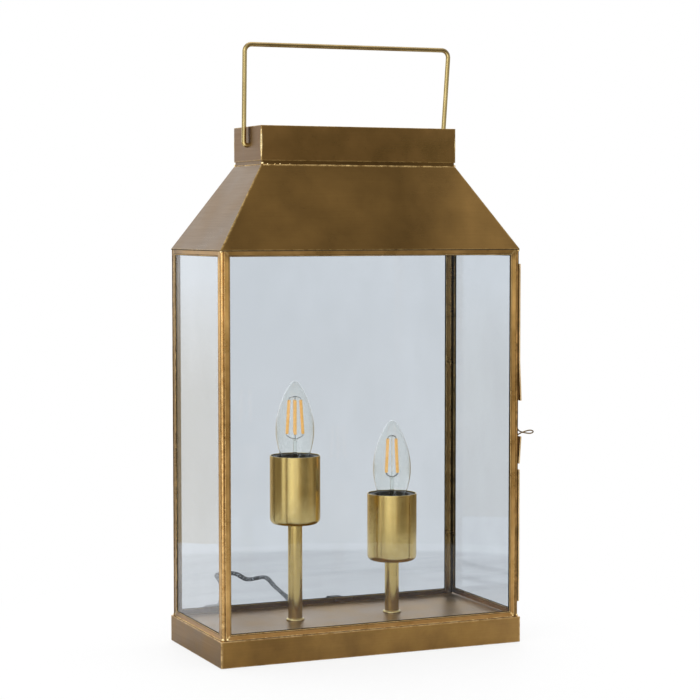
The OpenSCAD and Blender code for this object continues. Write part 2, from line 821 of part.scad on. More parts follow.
module bulb_cap(rise) {
    ridges = floor((cap_h - 5) / thread_pitch);
    color(steel)
    translate([0, 0, base_h + rise + bulb_z])
        rotate_extrude()
            polygon(concat([[cap_r - 1.4, -cap_h], [cap_r - 0.9, -cap_h]],
                [for (i = [0:ridges - 1]) for (p = [[-0.9, 0.2], [0, 1.1], [-0.9, 2]])
                    [cap_r + p.x, -cap_h + 0.6 + i * thread_pitch + p.y]],
                [[cap_r - 0.5, -3], [glass_neck_r - 0.6, -0.6], [glass_neck_r - 0.6, 0],
                    [cap_r - 1.4, 0]]));
}

// The black insulator and the solder tip below the cap's shell
module bulb_tip(rise) {
    color(black_plastic)
    translate([0, 0, base_h + rise + tip_z])
        rotate_extrude()
            polygon([[0, 0], [1.6, 0], [2.4, 0.9], [2.4, 1.4], [cap_r - 1.5, 3.4], [cap_r - 1.5, 5],
                [0, 5]]);
}

module bulb_glass(rise) {
    outside = smooth(glass_profile, 5);
    inside = [for (p = outside) if (p.x > bulb_wall && p.y < glass_h - 2 * bulb_wall)
        [p.x - bulb_wall, p.y + 0.1]];
    color(clear_glass)
    translate([0, 0, base_h + rise + bulb_z])
        rotate_extrude()
            polygon(concat([inside[0], [outside[0].x, 0.1]], [for (i = [1:len(outside) - 1]) outside[i]],
                [[0, glass_h - 1.6 * bulb_wall]], [for (i = [len(inside) - 1:-1:1]) inside[i]]));
}

// Four LED filaments that lean in towards the top, with the wires that carry them
module filaments(rise, first) {
    low = glass_h * 0.385;
    color("#f0b040")
    translate([0, 0, base_h + rise + bulb_z])
        for (a = [first:90:first + 270])
            rotate([0, 0, a]) {
                bar([6.6, 0, low], [5.2, 0, low + filament_len], filament_d / 2);
                bar([5.2, 0, low + filament_len], [1.7, 0, low + filament_len + 2.62], 0.3);
                bar([6.6, 0, low], [2.4, 0, low - 4.2], 0.3);
            }
}

// The glass stem in the bulb that carries the wires
module bulb_mount(rise) {
    low = glass_h * 0.385;
    color(clear_glass)
    translate([0, 0, base_h + rise + bulb_z]) {
        rotate_extrude()
            polygon([[0, 0.1], [cap_r - 1.6, 0.1], [3, 5], [1.7, 9], [1.7, low - 7], [2.2, low - 4.6],
                [1, low - 3.6], [0, low - 3.6]]);
        cylinder(r = 0.6, h = low + filament_len + 3.4);
        translate([0, 0, low + filament_len + 2.6])
            cylinder(r = 1.5, h = 0.8);
    }
}

module at_left_lamp() { translate([-left_x, 0, 0]) children(); }
module at_right_lamp() { translate([right_x, 0, 0]) children(); }

// ---------- wiring ----------

module terminal_block() {
    color("#e8e4d8")
    translate([0, block_y, floor_under - 0.3 - block_h])
        difference() {
            translate([-block_w / 2, 0, 0])
                cube([block_w, block_d, block_h]);
            for (x = [-block_w / 4, block_w / 4]) {
                translate([x, -through, block_h * 0.4])
                    rotate([-90, 0, 0])
                        cylinder(r = 2.5, h = block_d * 0.3 + through);
                for (y = [block_d * 0.3, block_d * 0.7])
                    translate([x, y, -through])
                        cylinder(r = 1.6, h = block_h * 0.3);
            }
        }
}

lead_r = 1;
lead_pitch = 2.4;       // between a lamp's two wires at the block
lead_step = 3;          // between them where they turn
lead_tail = 6;          // straight out of the block
lead_turn_y = 8;
lead_bend = 9;
lead_low_z = 8;
lead_pair = 2.6;        // between them in the rod
lead_straight = 12;
lead_end = 4;

// Two insulated wires from the terminal block up through each threaded rod to the lampholder
module lead_wires() {
    z = floor_under - 0.3 - block_h * 0.6;
    color("#7a4a2a")
    for (lamp = [[-left_x, left_rise, -1], [right_x, right_rise, 1]])
        for (k = [0, 1]) {
            x = lamp.z * block_w / 4 + (k - 0.5) * lead_pitch;
            drop = base_h + lamp[1] + holder_z0 + lead_end;
            side = (k - 0.5) * lead_pair;
            tube(smooth([[x, block_y - 2 * seat, z], [x, block_y - lead_tail, z],
                [x + lamp.z * lead_bend, -lead_turn_y - k * lead_step, z - lead_r],
                [lamp.x - lamp.z * lead_bend, side * 2, lead_low_z + k * lead_r],
                [lamp.x, side, floor_under - rod_below + lead_r],
                [lamp.x, side, floor_under + lead_straight], [lamp.x, side, drop]], 3),
                lead_r, 6, [0, 1, 0.01]);
        }
}

// The tapered sleeve that guards the flex where it leaves the base
module strain_relief() {
    color(black_plastic)
    translate([0, wall_y, relief_z])
        rotate([-90, 0, 0])
            rotate_extrude()
                polygon([[cord_bore_r, -sheet_t - seat - 2], [relief_flange_r, -sheet_t - seat - 2],
                    [relief_flange_r, -sheet_t - seat], [relief_neck_r, -sheet_t - seat],
                    [relief_neck_r, seat], [relief_flange_r, seat],
                    [relief_flange_r, relief_flange_t], [cord_bore_r + 2.4, relief_flange_t],
                    [cord_bore_r + 1.1, relief_len + relief_flange_t],
                    [cord_bore_r, relief_len + relief_flange_t]]);
}

// The block under the floor plate that grips the flex
module cord_clamp() {
    color(black_plastic)
    translate([-clamp_w / 2, clamp_y, 0])
        difference() {
            translate([0, 0, relief_z - cord_r - clamp_under])
                cube([clamp_w, clamp_len, floor_under - relief_z + cord_r + clamp_under - seat]);
            translate([clamp_w / 2, -through, relief_z])
                rotate([-90, 0, 0])
                    cylinder(r = cord_bore_r, h = clamp_len + 2 * through);
        }
}

// ---------- flex, switch and plug ----------

module cord_to_switch() { color(flex_grey) tube(run(cord_points, 2), cord_r, 8); }
module cord_to_coil() { color(flex_grey) tube(run(after_switch, 3), cord_r, 8); }
module cord_to_plug() { color(flex_grey) tube(run(after_coil, 2), cord_r, 8); }

// The coil winds in on the table, climbs a layer in the half turn where it reverses, and winds out
function coil_at(t) =
    let (half = coil_layer_turns, down = t < half, a = -90 + 360 * t,
        r = coil_out_r - coil_pitch * (down ? t : 2 * half - t),
        climb = min(1, max(0, (t - half + 0.25) / 0.5)),
        z = coil_z + coil_pitch * climb * climb * (3 - 2 * climb))
    [coil_mid.x + r * cos(a), coil_mid.y + r * sin(a), z];
coil_rings = 24;
coil_path = concat([coil_at(0) - [4, 0, 0]], [for (i = [0:coil_rings * coil_turns]) coil_at(i / coil_rings)],
    [coil_at(coil_turns) + [0, 4, 0]]);
function far_apart(i, j) = abs(i - j) > coil_rings / 3;
coil_least = min([for (i = [0:len(coil_path) - 1]) for (j = [0:len(coil_path) - 1])
    if (far_apart(i, j)) norm(coil_path[i] - coil_path[j])]) - cord_d;

function length_of(p) = [for (i = [1:len(p) - 1]) norm(p[i] - p[i - 1])] * [for (i = [1:len(p) - 1]) 1];

module cord_coil() {
    echo("least gap between the coil's turns, mm", coil_least);
    echo("flex outside the switch, mm", length_of(run(cord_points, 2)) + length_of(coil_path)
        + length_of(run(after_switch, 3)) + length_of(run(after_coil, 2)));
    color(flex_grey) tube(coil_path, cord_r, 6);
}

// A strap round the coil's turns, on the side away from the lamp
module coil_tie() {
    spread = coil_pitch * coil_layer_turns;
    in_w = spread + cord_d + 1.2;
    in_h = coil_pitch + cord_d + 0.6;
    out_z = in_h + 2 * tie_t;
    color(black_plastic)
    translate([coil_mid.x - tie_w / 2, coil_mid.y + coil_mean_d / 2, 0])
        difference() {
            translate([0, -in_w / 2 - tie_t, 0])
                cube([tie_w, in_w + 2 * tie_t, out_z]);
            translate([-through, -in_w / 2, tie_t])
                cube([tie_w + 2 * through, in_w, in_h]);
        }
}

rocker_hub_r = 3.3;
rocker_l = 18;
rocker_w = 9;
rocker_axis_z = switch_h - 3;
rocker_y = (switch_y0 + switch_y1) / 2;

module switch_body() {
    color(black_plastic)
    difference() {
        translate([switch_x, rocker_y, 0]) {
            linear_extrude(switch_h - 1.2)
                round_rect(switch_w, switch_len, 8);
            linear_extrude(switch_h)
                round_rect(switch_w - 3, switch_len - 3, 6.5);
        }
        translate([switch_x - rocker_w / 2 - 0.4, rocker_y - rocker_l / 2 - 1.4, switch_h - 8])
            cube([rocker_w + 0.8, rocker_l + 2.8, 8 + through]);
    }
}

// The rocker pivots across the switch on a round hub
module switch_rocker() {
    color("#3a3a3c")
    translate([switch_x - rocker_w / 2, rocker_y, rocker_axis_z])
        rotate([90, 0, 90]) {
            cylinder(r = rocker_hub_r, h = rocker_w);
            linear_extrude(rocker_w)
                polygon([[-rocker_l / 2, 2.6], [0, 3.4], [rocker_l / 2, 5.4], [rocker_l / 2, 2],
                    [rocker_hub_r * 0.96, -0.5], [-rocker_hub_r * 0.96, -0.5], [-rocker_l / 2, 0.4]]);
        }
}

// A flat two-pin plug that lies on its side, pins towards the lamp
module plug_body() {
    rear_w = 14;
    color(black_plastic)
    translate([plug_x, plug_rear, 0])
        difference() {
            intersection() {
                linear_extrude(plug_h)
                    polygon([[-rear_w / 2, 0], [rear_w / 2, 0], [plug_w / 2 - 1, -plug_len * 0.62],
                        [plug_w / 2, -plug_len * 0.7], [plug_w / 2, -plug_len],
                        [-plug_w / 2, -plug_len], [-plug_w / 2, -plug_len * 0.7],
                        [-plug_w / 2 + 1, -plug_len * 0.62]]);
                rotate([90, 0, 90])
                    translate([0, 0, -plug_w])
                        linear_extrude(2 * plug_w)
                            polygon([[0, 1.6], [0, plug_h - 1.6], [-plug_len * 0.5, plug_h],
                                [-plug_len, plug_h], [-plug_len, 0], [-plug_len * 0.5, 0]]);
            }
            for (sx = [-1, 1])
                translate([sx * plug_pin_pitch / 2, -plug_len - through, plug_z])
                    rotate([-90, 0, 0])
                        cylinder(d = plug_pin_d + 0.1, h = 10 + through);
        }
}

module plug_pins() {
    color(steel)
    for (sx = [-1, 1])
        translate([plug_x + sx * plug_pin_pitch / 2, plug_rear - plug_len - plug_pin_len, plug_z])
            rotate([-90, 0, 0])
                cylinder(d = plug_pin_d, h = plug_pin_len + 9.8);
}

// ---------- the nodes ----------

base_tray();
bottom_cover();
cover_screws();
base_pad();
corner_posts();
front_frame();
front_pane();
back_frame();
back_pane();
left_frame();
left_pane();
door_frame();
door_pane();
door_strips();
door_hinge_leaves();
post_hinge_leaves();
hinge_pins();
door_pull();
roof();
roof_collar();
collar_lid();
carry_handle();
at_left_lamp() stem(left_rise);  // left_stem
at_left_lamp() foot();  // left_foot
at_left_lamp() rod(left_rise);  // left_rod
at_left_lamp() nuts(left_rise);  // left_nuts
at_left_lamp() cup(left_rise);  // left_cup
at_left_lamp() holder(left_rise);  // left_holder
at_left_lamp() contacts(left_rise);  // left_contacts
at_left_lamp() bulb_cap(left_rise);  // left_bulb_cap
at_left_lamp() bulb_tip(left_rise);  // left_bulb_tip
at_left_lamp() bulb_glass(left_rise);  // left_bulb_glass
at_left_lamp() filaments(left_rise, -20);  // left_filaments
at_left_lamp() bulb_mount(left_rise);  // left_bulb_mount
at_right_lamp() stem(right_rise);  // right_stem
at_right_lamp() foot();  // right_foot
at_right_lamp() rod(right_rise);  // right_rod
at_right_lamp() nuts(right_rise);  // right_nuts
at_right_lamp() cup(right_rise);  // right_cup
at_right_lamp() holder(right_rise);  // right_holder
at_right_lamp() contacts(right_rise);  // right_contacts
at_right_lamp() bulb_cap(right_rise);  // right_bulb_cap
at_right_lamp() bulb_tip(right_rise);  // right_bulb_tip
at_right_lamp() bulb_glass(right_rise);  // right_bulb_glass
at_right_lamp() filaments(right_rise, 20);  // right_filaments
at_right_lamp() bulb_mount(right_rise);  // right_bulb_mount
terminal_block();
lead_wires();
strain_relief();
cord_clamp();
cord_to_switch();
cord_to_coil();
cord_to_plug();
cord_coil();
coil_tie();
switch_body();
switch_rocker();
plug_body();
plug_pins();
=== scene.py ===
"""The lantern table lamp, dressed for the camera.

Lengths are in millimetres until a piece is made, which turns them to metres. Every shape is a grid of
points worked out from two parameters, or a section carried along a line.
"""
import bpy
import bmesh
import math
import numpy as np
from mathutils import Matrix, Vector


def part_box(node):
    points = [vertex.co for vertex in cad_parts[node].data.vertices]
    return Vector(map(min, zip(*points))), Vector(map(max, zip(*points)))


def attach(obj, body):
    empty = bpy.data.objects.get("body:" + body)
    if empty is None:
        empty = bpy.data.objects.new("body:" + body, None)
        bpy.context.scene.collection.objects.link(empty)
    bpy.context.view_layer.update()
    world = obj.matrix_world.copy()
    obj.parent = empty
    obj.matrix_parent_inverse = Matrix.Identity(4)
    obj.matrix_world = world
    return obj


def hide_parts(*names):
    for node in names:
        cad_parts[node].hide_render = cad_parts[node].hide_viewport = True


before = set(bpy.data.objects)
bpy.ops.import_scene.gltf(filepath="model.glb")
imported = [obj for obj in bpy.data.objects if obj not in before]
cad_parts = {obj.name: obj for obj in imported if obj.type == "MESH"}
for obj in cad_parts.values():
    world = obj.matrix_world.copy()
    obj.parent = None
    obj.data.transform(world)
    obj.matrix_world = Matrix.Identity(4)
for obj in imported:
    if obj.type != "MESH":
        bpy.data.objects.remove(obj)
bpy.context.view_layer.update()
MM = 0.001

# ---------------------------------------------------------------- sizes, as in the part's source

SHEET = 0.8
BASE_X, BASE_Y = 146.4, 68.0                    # half the base's width and depth
LUG_X, LUG_Y = 137.6, 59.2                      # the cover's four screws
CAGE_W, CAGE_D, BEAD_R = 289.4, 132.6, 1.6
FLOOR_Z, EAVE_Z, NECK_Z = 24.0, 362.5, 437.2
COLLAR_X, COLLAR_Y, COLLAR_Z, COLLAR_TOP = 95.15, 34.3, 441.0, 472.0
LAMPS = {"left": (-50.0, 88.8), "right": (47.0, 49.2)}          # each lamp's x and its cup's height
CUP_H, CUP_R = 62.6, 23.0
BULB_Z, GLASS_H, THREAD = 51.6, 79.0, 2.82
FILAMENT_Z, FILAMENT_H = 0.385 * GLASS_H, 31.0
HANDLE_Z, WIRE_R = 455.4, 2.1
EXIT_Z = 14.5                                   # where the flex leaves the base
SWITCH_X, SWITCH_Y, FLEX_LOW = -74.0, 123.0, 7.0
PLUG_AT, PIN_XS, PIN_Y = (120.0, 127.0, 6.9), (110.7, 129.3), 91.0
QUARTERS = ((-1, -1), (-1, 1), (1, -1), (1, 1))


# ---------------------------------------------------------------- shapes

def span(a, b, n):
    """n values from a to b, evenly."""
    return np.linspace(a, b, n)


def circle(n):
    """n angles evenly round a circle, from 0."""
    return span(0, 2 * math.pi, n + 1)[:-1]


def upright(x, y, z):
    """An upright line at (x, y), through the heights z."""
    return np.stack([x + 0 * z, y + 0 * z, z], -1)


def lengths(line):
    """How far along the line each of its points is."""
    return np.concatenate([[0], np.cumsum(np.linalg.norm(np.diff(line, axis=0), axis=1))])


def ease(x):
    """0 below 0, 1 above 1, and 3x² - 2x³ between."""
    x = np.clip(x, 0.0, 1.0)
    return x * x * (3 - 2 * x)


def ripple(p, step, seed=0.0):
    """Smooth unevenness from -1 to 1 at each point: a mean of sines whose waves are about `step` long."""
    k = 2 * math.pi / step
    x, y, z = p[..., 0], p[..., 1], p[..., 2]
    return (np.sin(k * (x + 0.6 * y) + seed) + np.sin(k * (0.83 * y - 0.7 * z) + 2.1 * seed + 1)
            + np.sin(k * (1.13 * z + 0.5 * x) - seed + 2) + np.sin(1.9 * k * (x - y + z) + 3 * seed)) / 4


def outwards(p, quads, uv, wear):
    """Turns closed quads outwards: the sum of p0 . (p1 x p2) over them is made positive."""
    a, b, c, d = ((p - p.mean(0))[quads[:, k]] for k in range(4))
    if (np.cross(a, b) * c).sum() + (np.cross(a, c) * d).sum() < 0:
        quads, uv = quads[:, ::-1], uv[:, ::-1]
    return p, quads, uv, wear


def skin(points, loop_rows=False, wear=0.0):
    """A grid of points, rows by columns, as quads between neighbours, turned outwards. The last column
    joins the first, and the last row too where it is looped. V is the length along the rows in metres
    and U goes from 0 to 1 along the columns."""
    rows, cols = points.shape[:2]
    i = np.arange(rows if loop_rows else rows - 1)[:, None]
    j = np.arange(cols)[None, :]
    i1, j1 = (i + 1) % rows, (j + 1) % cols
    quads = np.stack([i * cols + j, i * cols + j1, i1 * cols + j1, i1 * cols + j], -1).reshape(-1, 4)
    steps = np.linalg.norm(np.diff(points, axis=0, append=points[:1]), axis=2).mean(1)
    along = np.concatenate([[0.0], np.cumsum(steps)]) * MM
    u0, v0 = j / cols + 0 * i, along[i] + 0.0 * j
    u1, v1 = (j + 1) / cols + 0 * i, along[i + 1] + 0.0 * j
    uv = np.stack([u0, v0, u1, v0, u1, v1, u0, v1], -1).reshape(-1, 4, 2)
    wear = np.broadcast_to(wear, (rows, cols)).reshape(-1).astype(float)
    return outwards(points.reshape(-1, 3), quads, uv, wear)


def soften(corners, cut, loop=True, fade=0.8):
    """The outline with each corner rounded off by a parabola that starts and ends `cut` away from it, a
    point just outside each end, and one more `fade` away, so that the flats beside it stay flat. Returns
    the points and how rubbed each is: 1 on a corner, less beside it, 0 on the flats."""
    p = np.asarray(corners, float)
    before, after = np.roll(p, 1, 0) - p, np.roll(p, -1, 0) - p
    la, lb = np.linalg.norm(before, axis=1)[:, None] + 1e-9, np.linalg.norm(after, axis=1)[:, None] + 1e-9
    cut = np.broadcast_to(cut, (len(p),))[:, None]
    cut = np.minimum(cut, 0.4 * np.minimum(la, lb))
    ua, ub = before / la, after / lb
    t = span(0, 1, 4)[None, :, None]
    arc = ((1 - t) ** 2 * (p + ua * cut)[:, None] + 2 * t * (1 - t) * p[:, None]
           + t * t * (p + ub * cut)[:, None])
    near_a, near_b = ((p + u * np.minimum(cut * 1.2, 0.45 * k))[:, None] for u, k in ((ua, la), (ub, lb)))
    far_a, far_b = ((p + u * np.minimum(cut + fade, 0.49 * k))[:, None] for u, k in ((ua, la), (ub, lb)))
    out = np.concatenate([far_a, near_a, arc, near_b, far_b], 1)
    rub = np.broadcast_to([0, 0.55, 1, 1, 1, 1, 0.55, 0], (len(p), 8))
    if not loop:
        ends = np.concatenate([p[:1], out[1:-1].reshape(-1, p.shape[1]), p[-1:]])
        return ends, np.concatenate([[0], rub[1:-1].reshape(-1), [0]])
    return out.reshape(-1, p.shape[1]), rub.reshape(-1)


def rim(side=10, arc=4):
    """A rounded rectangle's outline as (A, D): with half sizes h and corner radius r, each point is
    A * (h - r) + D * r. A runs over the corners and evenly along the sides, and D is the way outwards.
    The last column is 1 on the corners' arcs, for wear."""
    rows = []
    for k in range(4):
        q = k * math.pi / 2
        sx, sy = (1, 1, -1, -1)[k], (-1, 1, 1, -1)[k]
        for a in span(q - math.pi / 2, q, arc + 1):
            rows.append((sx, sy, math.cos(a), math.sin(a), 1))
        way = ((0, 1), (-1, 0), (0, -1), (1, 0))[k]
        for t in (0.002, 0.006, *span(0.06, 0.94, side), 0.994, 0.998):
            at_end = abs(t - 0.5) > 0.497
            rows.append((sx + way[0] * 2 * t, sy + way[1] * 2 * t, math.cos(q), math.sin(q), 0.4 * at_end))
    return np.array(rows, float)


def loft(rows, side=10, arc=4, loop=True, wear=0.0):
    """Rounded rectangles stacked up: each row is (half width, half depth, corner radius, height), and the
    outline of `rim` carries it round."""
    rows, line = np.asarray(rows, float), rim(side, arc)
    a, d, on_arc = line[:, :2], line[:, 2:4], line[:, 4]
    h, r, z = rows[:, None, :2], rows[:, None, 2:3], rows[:, 3]
    r = np.minimum(r, h.min(-1, keepdims=True))
    p = np.zeros((len(rows), len(line), 3))
    p[..., :2] = a * (h - r) + d * r
    p[..., 2] = z[:, None]
    rub = np.maximum(np.broadcast_to(wear, (len(rows),))[:, None], on_arc[None, :] * (r[..., 0] > 0.01))
    return skin(p, loop_rows=loop, wear=rub)


def box_rows(hx, hy, z0, z1, r=0.5, cut=0.3):
    """The rows of a closed block with rounded edges, for `loft` without a loop."""
    return soften([(0, 0, 0, z0), (hx, hy, r, z0), (hx, hy, r, z1), (0, 0, 0, z1)], cut, loop=False)


def turned(profile, turns=64, loop=True, wear=0.0, x=0.0):
    """A profile of (radius, height) turned about the upright line at (x, 0)."""
    profile, a, rub = np.asarray(profile, float), circle(turns), np.asarray(wear, float)
    r, z = profile[:, :1], profile[:, 1:2]
    p = np.stack([x + r * np.cos(a), r * np.sin(a), z + 0 * a], -1)
    return skin(p, loop_rows=loop, wear=rub[:, None] if rub.ndim else rub)


def carried(path, section, side=(0, 0, 1), grow=None, roll=None, wear=0.0, loop=False):
    """A closed section (x, y) carried along a path. At each point the section's x lies along w = t x side
    and its y along w x t, where t is the path's direction; grow scales it and roll turns it there. Both
    ends are drawn in to a point, which closes them."""
    path, section = np.asarray(path, float), np.asarray(section, float)
    if loop:
        t = np.roll(path, -1, 0) - np.roll(path, 1, 0)
    else:
        t = np.gradient(path, axis=0)
    t /= np.linalg.norm(t, axis=1)[:, None]
    w = np.cross(t, np.asarray(side, float))
    w /= np.linalg.norm(w, axis=1)[:, None]
    v = np.cross(w, t)
    grow = np.ones(len(path)) if grow is None else np.broadcast_to(grow, (len(path),))
    roll = np.zeros(len(path)) if roll is None else np.broadcast_to(roll, (len(path),))
    c, s = np.cos(roll)[:, None, None], np.sin(roll)[:, None, None]
    x, y = section[None, :, :1] * grow[:, None, None], section[None, :, 1:2] * grow[:, None, None]
    p = path[:, None] + (x * c - y * s) * w[:, None] + (x * s + y * c) * v[:, None]
    rub = np.broadcast_to(wear, p.shape[:2]) if np.ndim(wear) == 2 else np.broadcast_to(
        np.broadcast_to(wear, (len(path),))[:, None], p.shape[:2])
    if not loop:
        first, last = path[:1, None] + 0 * p[:1], path[-1:, None] + 0 * p[-1:]
        p = np.concatenate([first, p, last])
        rub = np.concatenate([rub[:1], rub, rub[-1:]])
    return skin(p, loop_rows=loop, wear=rub)


def round_section(r, n=16):
    """A circle of radius r."""
    return np.stack([r * np.cos(circle(n)), r * np.sin(circle(n))], -1)


def curve(p, steps):
    """The smooth line through p: from b to c, with a before and d after, half of
    2b + (c - a)t + (2a - 5b + 4c - d)t² + (3b - a - 3c + d)t³."""
    p = np.asarray(p, float)
    q = np.concatenate([p[:1], p, p[-1:]])
    t = (np.arange(steps) / steps)[None, :, None]
    a, b, c, d = (q[k:len(q) - 3 + k, None] for k in range(4))
    line = 0.5 * (2 * b + (c - a) * t + (2 * a - 5 * b + 4 * c - d) * t * t + (3 * b - a - 3 * c + d) * t ** 3)
    return np.concatenate([line.reshape(-1, p.shape[1]), p[-1:]])


def evenly(p, step):
    """The line p with its points `step` apart along it."""
    p = np.asarray(p, float)
    s = lengths(p)
    at = span(0, s[-1], int(round(s[-1] / step)) + 1)
    return np.stack([np.interp(at, s, p[:, k]) for k in range(p.shape[1])], -1)


def bent(corners, radii):
    """A line with its corners bent to the given radii: each bend runs from r tan(turn / 2) before the
    corner to as far after it, as a cubic whose handles are 4/3 r tan(turn / 4) long."""
    p = np.asarray(corners, float)
    out = [p[:1]]
    for k, r in enumerate(radii, 1):
        u, v = p[k] - p[k - 1], p[k + 1] - p[k]
        u, v = u / np.linalg.norm(u), v / np.linalg.norm(v)
        turn = math.acos(float(np.clip(u @ v, -1, 1)))
        cut, arm = r * math.tan(turn / 2), 4 / 3 * r * math.tan(turn / 4)
        a, d = p[k] - u * cut, p[k] + v * cut
        t = span(0, 1, 9)[:, None]
        out.append((1 - t) ** 3 * a + 3 * t * (1 - t) ** 2 * (a + u * arm)
                   + 3 * t * t * (1 - t) * (d - v * arm) + t ** 3 * d)
    out.append(p[-1:])
    return np.concatenate(out)


def moved(part, axes=(0, 1, 2), at=(0, 0, 0)):
    """A part with its axes taken in another order, then moved, and turned outwards again."""
    p, *rest = part
    return outwards(p[:, list(axes)] + np.asarray(at, float), *rest)


def make(name, parts, finish, body, slot, *nodes, crease=40):
    """Joins closed shells into one mesh, in metres, closes their poles, gives the piece its finish and the
    body it rides on, and hides the CAD nodes it stands for. The slot is not used."""
    parts = parts if isinstance(parts, list) else [parts]
    starts = np.concatenate([[0], np.cumsum([len(p[0]) for p in parts])])
    points = np.concatenate([p[0] for p in parts]) * MM
    quads = np.concatenate([p[1] + s for p, s in zip(parts, starts)]).astype(np.int32)
    uv = np.concatenate([p[2] for p in parts])
    wear = np.concatenate([p[3] for p in parts])
    mesh = bpy.data.meshes.new(name)
    mesh.vertices.add(len(points))
    mesh.vertices.foreach_set("co", points.ravel())
    mesh.loops.add(quads.size)
    mesh.loops.foreach_set("vertex_index", quads.ravel())
    mesh.polygons.add(len(quads))
    mesh.polygons.foreach_set("loop_start", np.arange(0, quads.size, 4, dtype=np.int32))
    mesh.update(calc_edges=True)
    mesh.uv_layers.new(name="UVMap").data.foreach_set("uv", uv.ravel())
    mesh.attributes.new("wear", "FLOAT", "POINT").data.foreach_set("value", np.clip(wear, 0, 1))
    work = bmesh.new()
    work.from_mesh(mesh)
    bmesh.ops.remove_doubles(work, verts=work.verts, dist=2e-6)
    bmesh.ops.dissolve_degenerate(work, edges=work.edges, dist=1e-6)
    work.to_mesh(mesh)
    work.free()
    mesh.validate()
    mesh.shade_smooth()
    mesh.set_sharp_from_angle(angle=math.radians(crease))
    mesh.materials.append(finish)
    piece = bpy.data.objects.new(name, mesh)
    bpy.context.scene.collection.objects.link(piece)
    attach(piece, body)
    if nodes:
        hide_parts(*nodes)
    return piece


# ---------------------------------------------------------------- finishes

def tint(code):
    """A colour written as a screen colour, in linear light."""
    c = np.array([int(code[k:k + 2], 16) for k in (1, 3, 5)]) / 255
    return tuple(float(v) for v in np.where(c < 0.04045, c / 12.92, ((c + 0.055) / 1.055) ** 2.4)) + (1.0,)


def add(tree, kind, inputs=None, out=0, **settings):
    """Adds a node, fills its sockets with values or other nodes' outputs, and returns its output."""
    n = tree.nodes.new("ShaderNode" + kind)
    for key, value in settings.items():
        setattr(n, key, value)
    for key, value in (inputs or {}).items():
        if isinstance(value, bpy.types.NodeSocket):
            tree.links.new(value, n.inputs[key])
        else:
            n.inputs[key].default_value = value
    return n.outputs[out] if n.outputs else n


def calc(tree, what, a, b=0.0, clamp=False):
    """A Math node."""
    return add(tree, "Math", {0: a, 1: b}, operation=what, use_clamp=clamp)


def remap(tree, value, low, high, to_low=0.0, to_high=1.0):
    """value from low..high to to_low..to_high, held at the ends."""
    return add(tree, "MapRange", {0: value, 1: low, 2: high, 3: to_low, 4: to_high}, clamp=True)


def blend(tree, share, a, b, how="MIX"):
    """A colour mix of a and b by share."""
    return add(tree, "Mix", {0: share, 6: a, 7: b}, out=2, data_type="RGBA", blend_type=how)


def cloud(tree, place, size, detail=3.0, rough=0.5, stretch=(1, 1, 1), turn=(0, 0, 0)):
    """Noise whose blotches are about `size` millimetres across, stretched by an axis."""
    at = add(tree, "Mapping", {0: place, 2: turn, 3: tuple(1000.0 / size / s for s in stretch)})
    return add(tree, "TexNoise", {"Vector": at, "Scale": 1.0, "Detail": detail, "Roughness": rough}, out=0)


def bump(tree, height, depth, strength=0.5, under=None):
    """A relief whose full height is depth millimetres, on top of another where there is one."""
    sockets = {"Strength": strength, "Distance": depth * MM, "Height": height}
    return add(tree, "Bump", sockets if under is None else {**sockets, "Normal": under})


def xyz(tree, vector):
    """A vector's three numbers."""
    return add(tree, "SeparateXYZ", {0: vector}, out=slice(0, 3))


def looked_at(tree):
    """The light path's outputs, and 1 for a ray that has left a surface, 0 for one that comes straight
    from the eye or through glass."""
    path = tree.nodes.new("ShaderNodeLightPath").outputs
    return path, calc(tree, "ADD", path["Glossy Depth"], path["Diffuse Depth"], True)


def start(name):
    """A new finish with its shader, and the piece's own coordinates."""
    material = bpy.data.materials.new(name)
    material.use_nodes = True
    tree = material.node_tree
    tree.nodes.clear()
    shader = tree.nodes.new("ShaderNodeBsdfPrincipled")
    output = tree.nodes.new("ShaderNodeOutputMaterial")
    tree.links.new(shader.outputs[0], output.inputs[0])
    return material, tree, shader, add(tree, "TexCoord", out=3)


def mixed(tree, share, shader, other):
    """The shader gives way to another by share, and the mix is what the finish shows."""
    mix = add(tree, "MixShader", {0: share, 1: shader.outputs[0], 2: other})
    tree.links.new(mix, tree.nodes["Material Output"].inputs[0])


def fill(tree, shader, **sockets):
    """Sets the shader's sockets, to a number, a colour or another node's output."""
    for key, value in sockets.items():
        socket = shader.inputs[key.replace("_", " ")]
        if isinstance(value, bpy.types.NodeSocket):
            tree.links.new(value, socket)
        else:
            socket.default_value = value


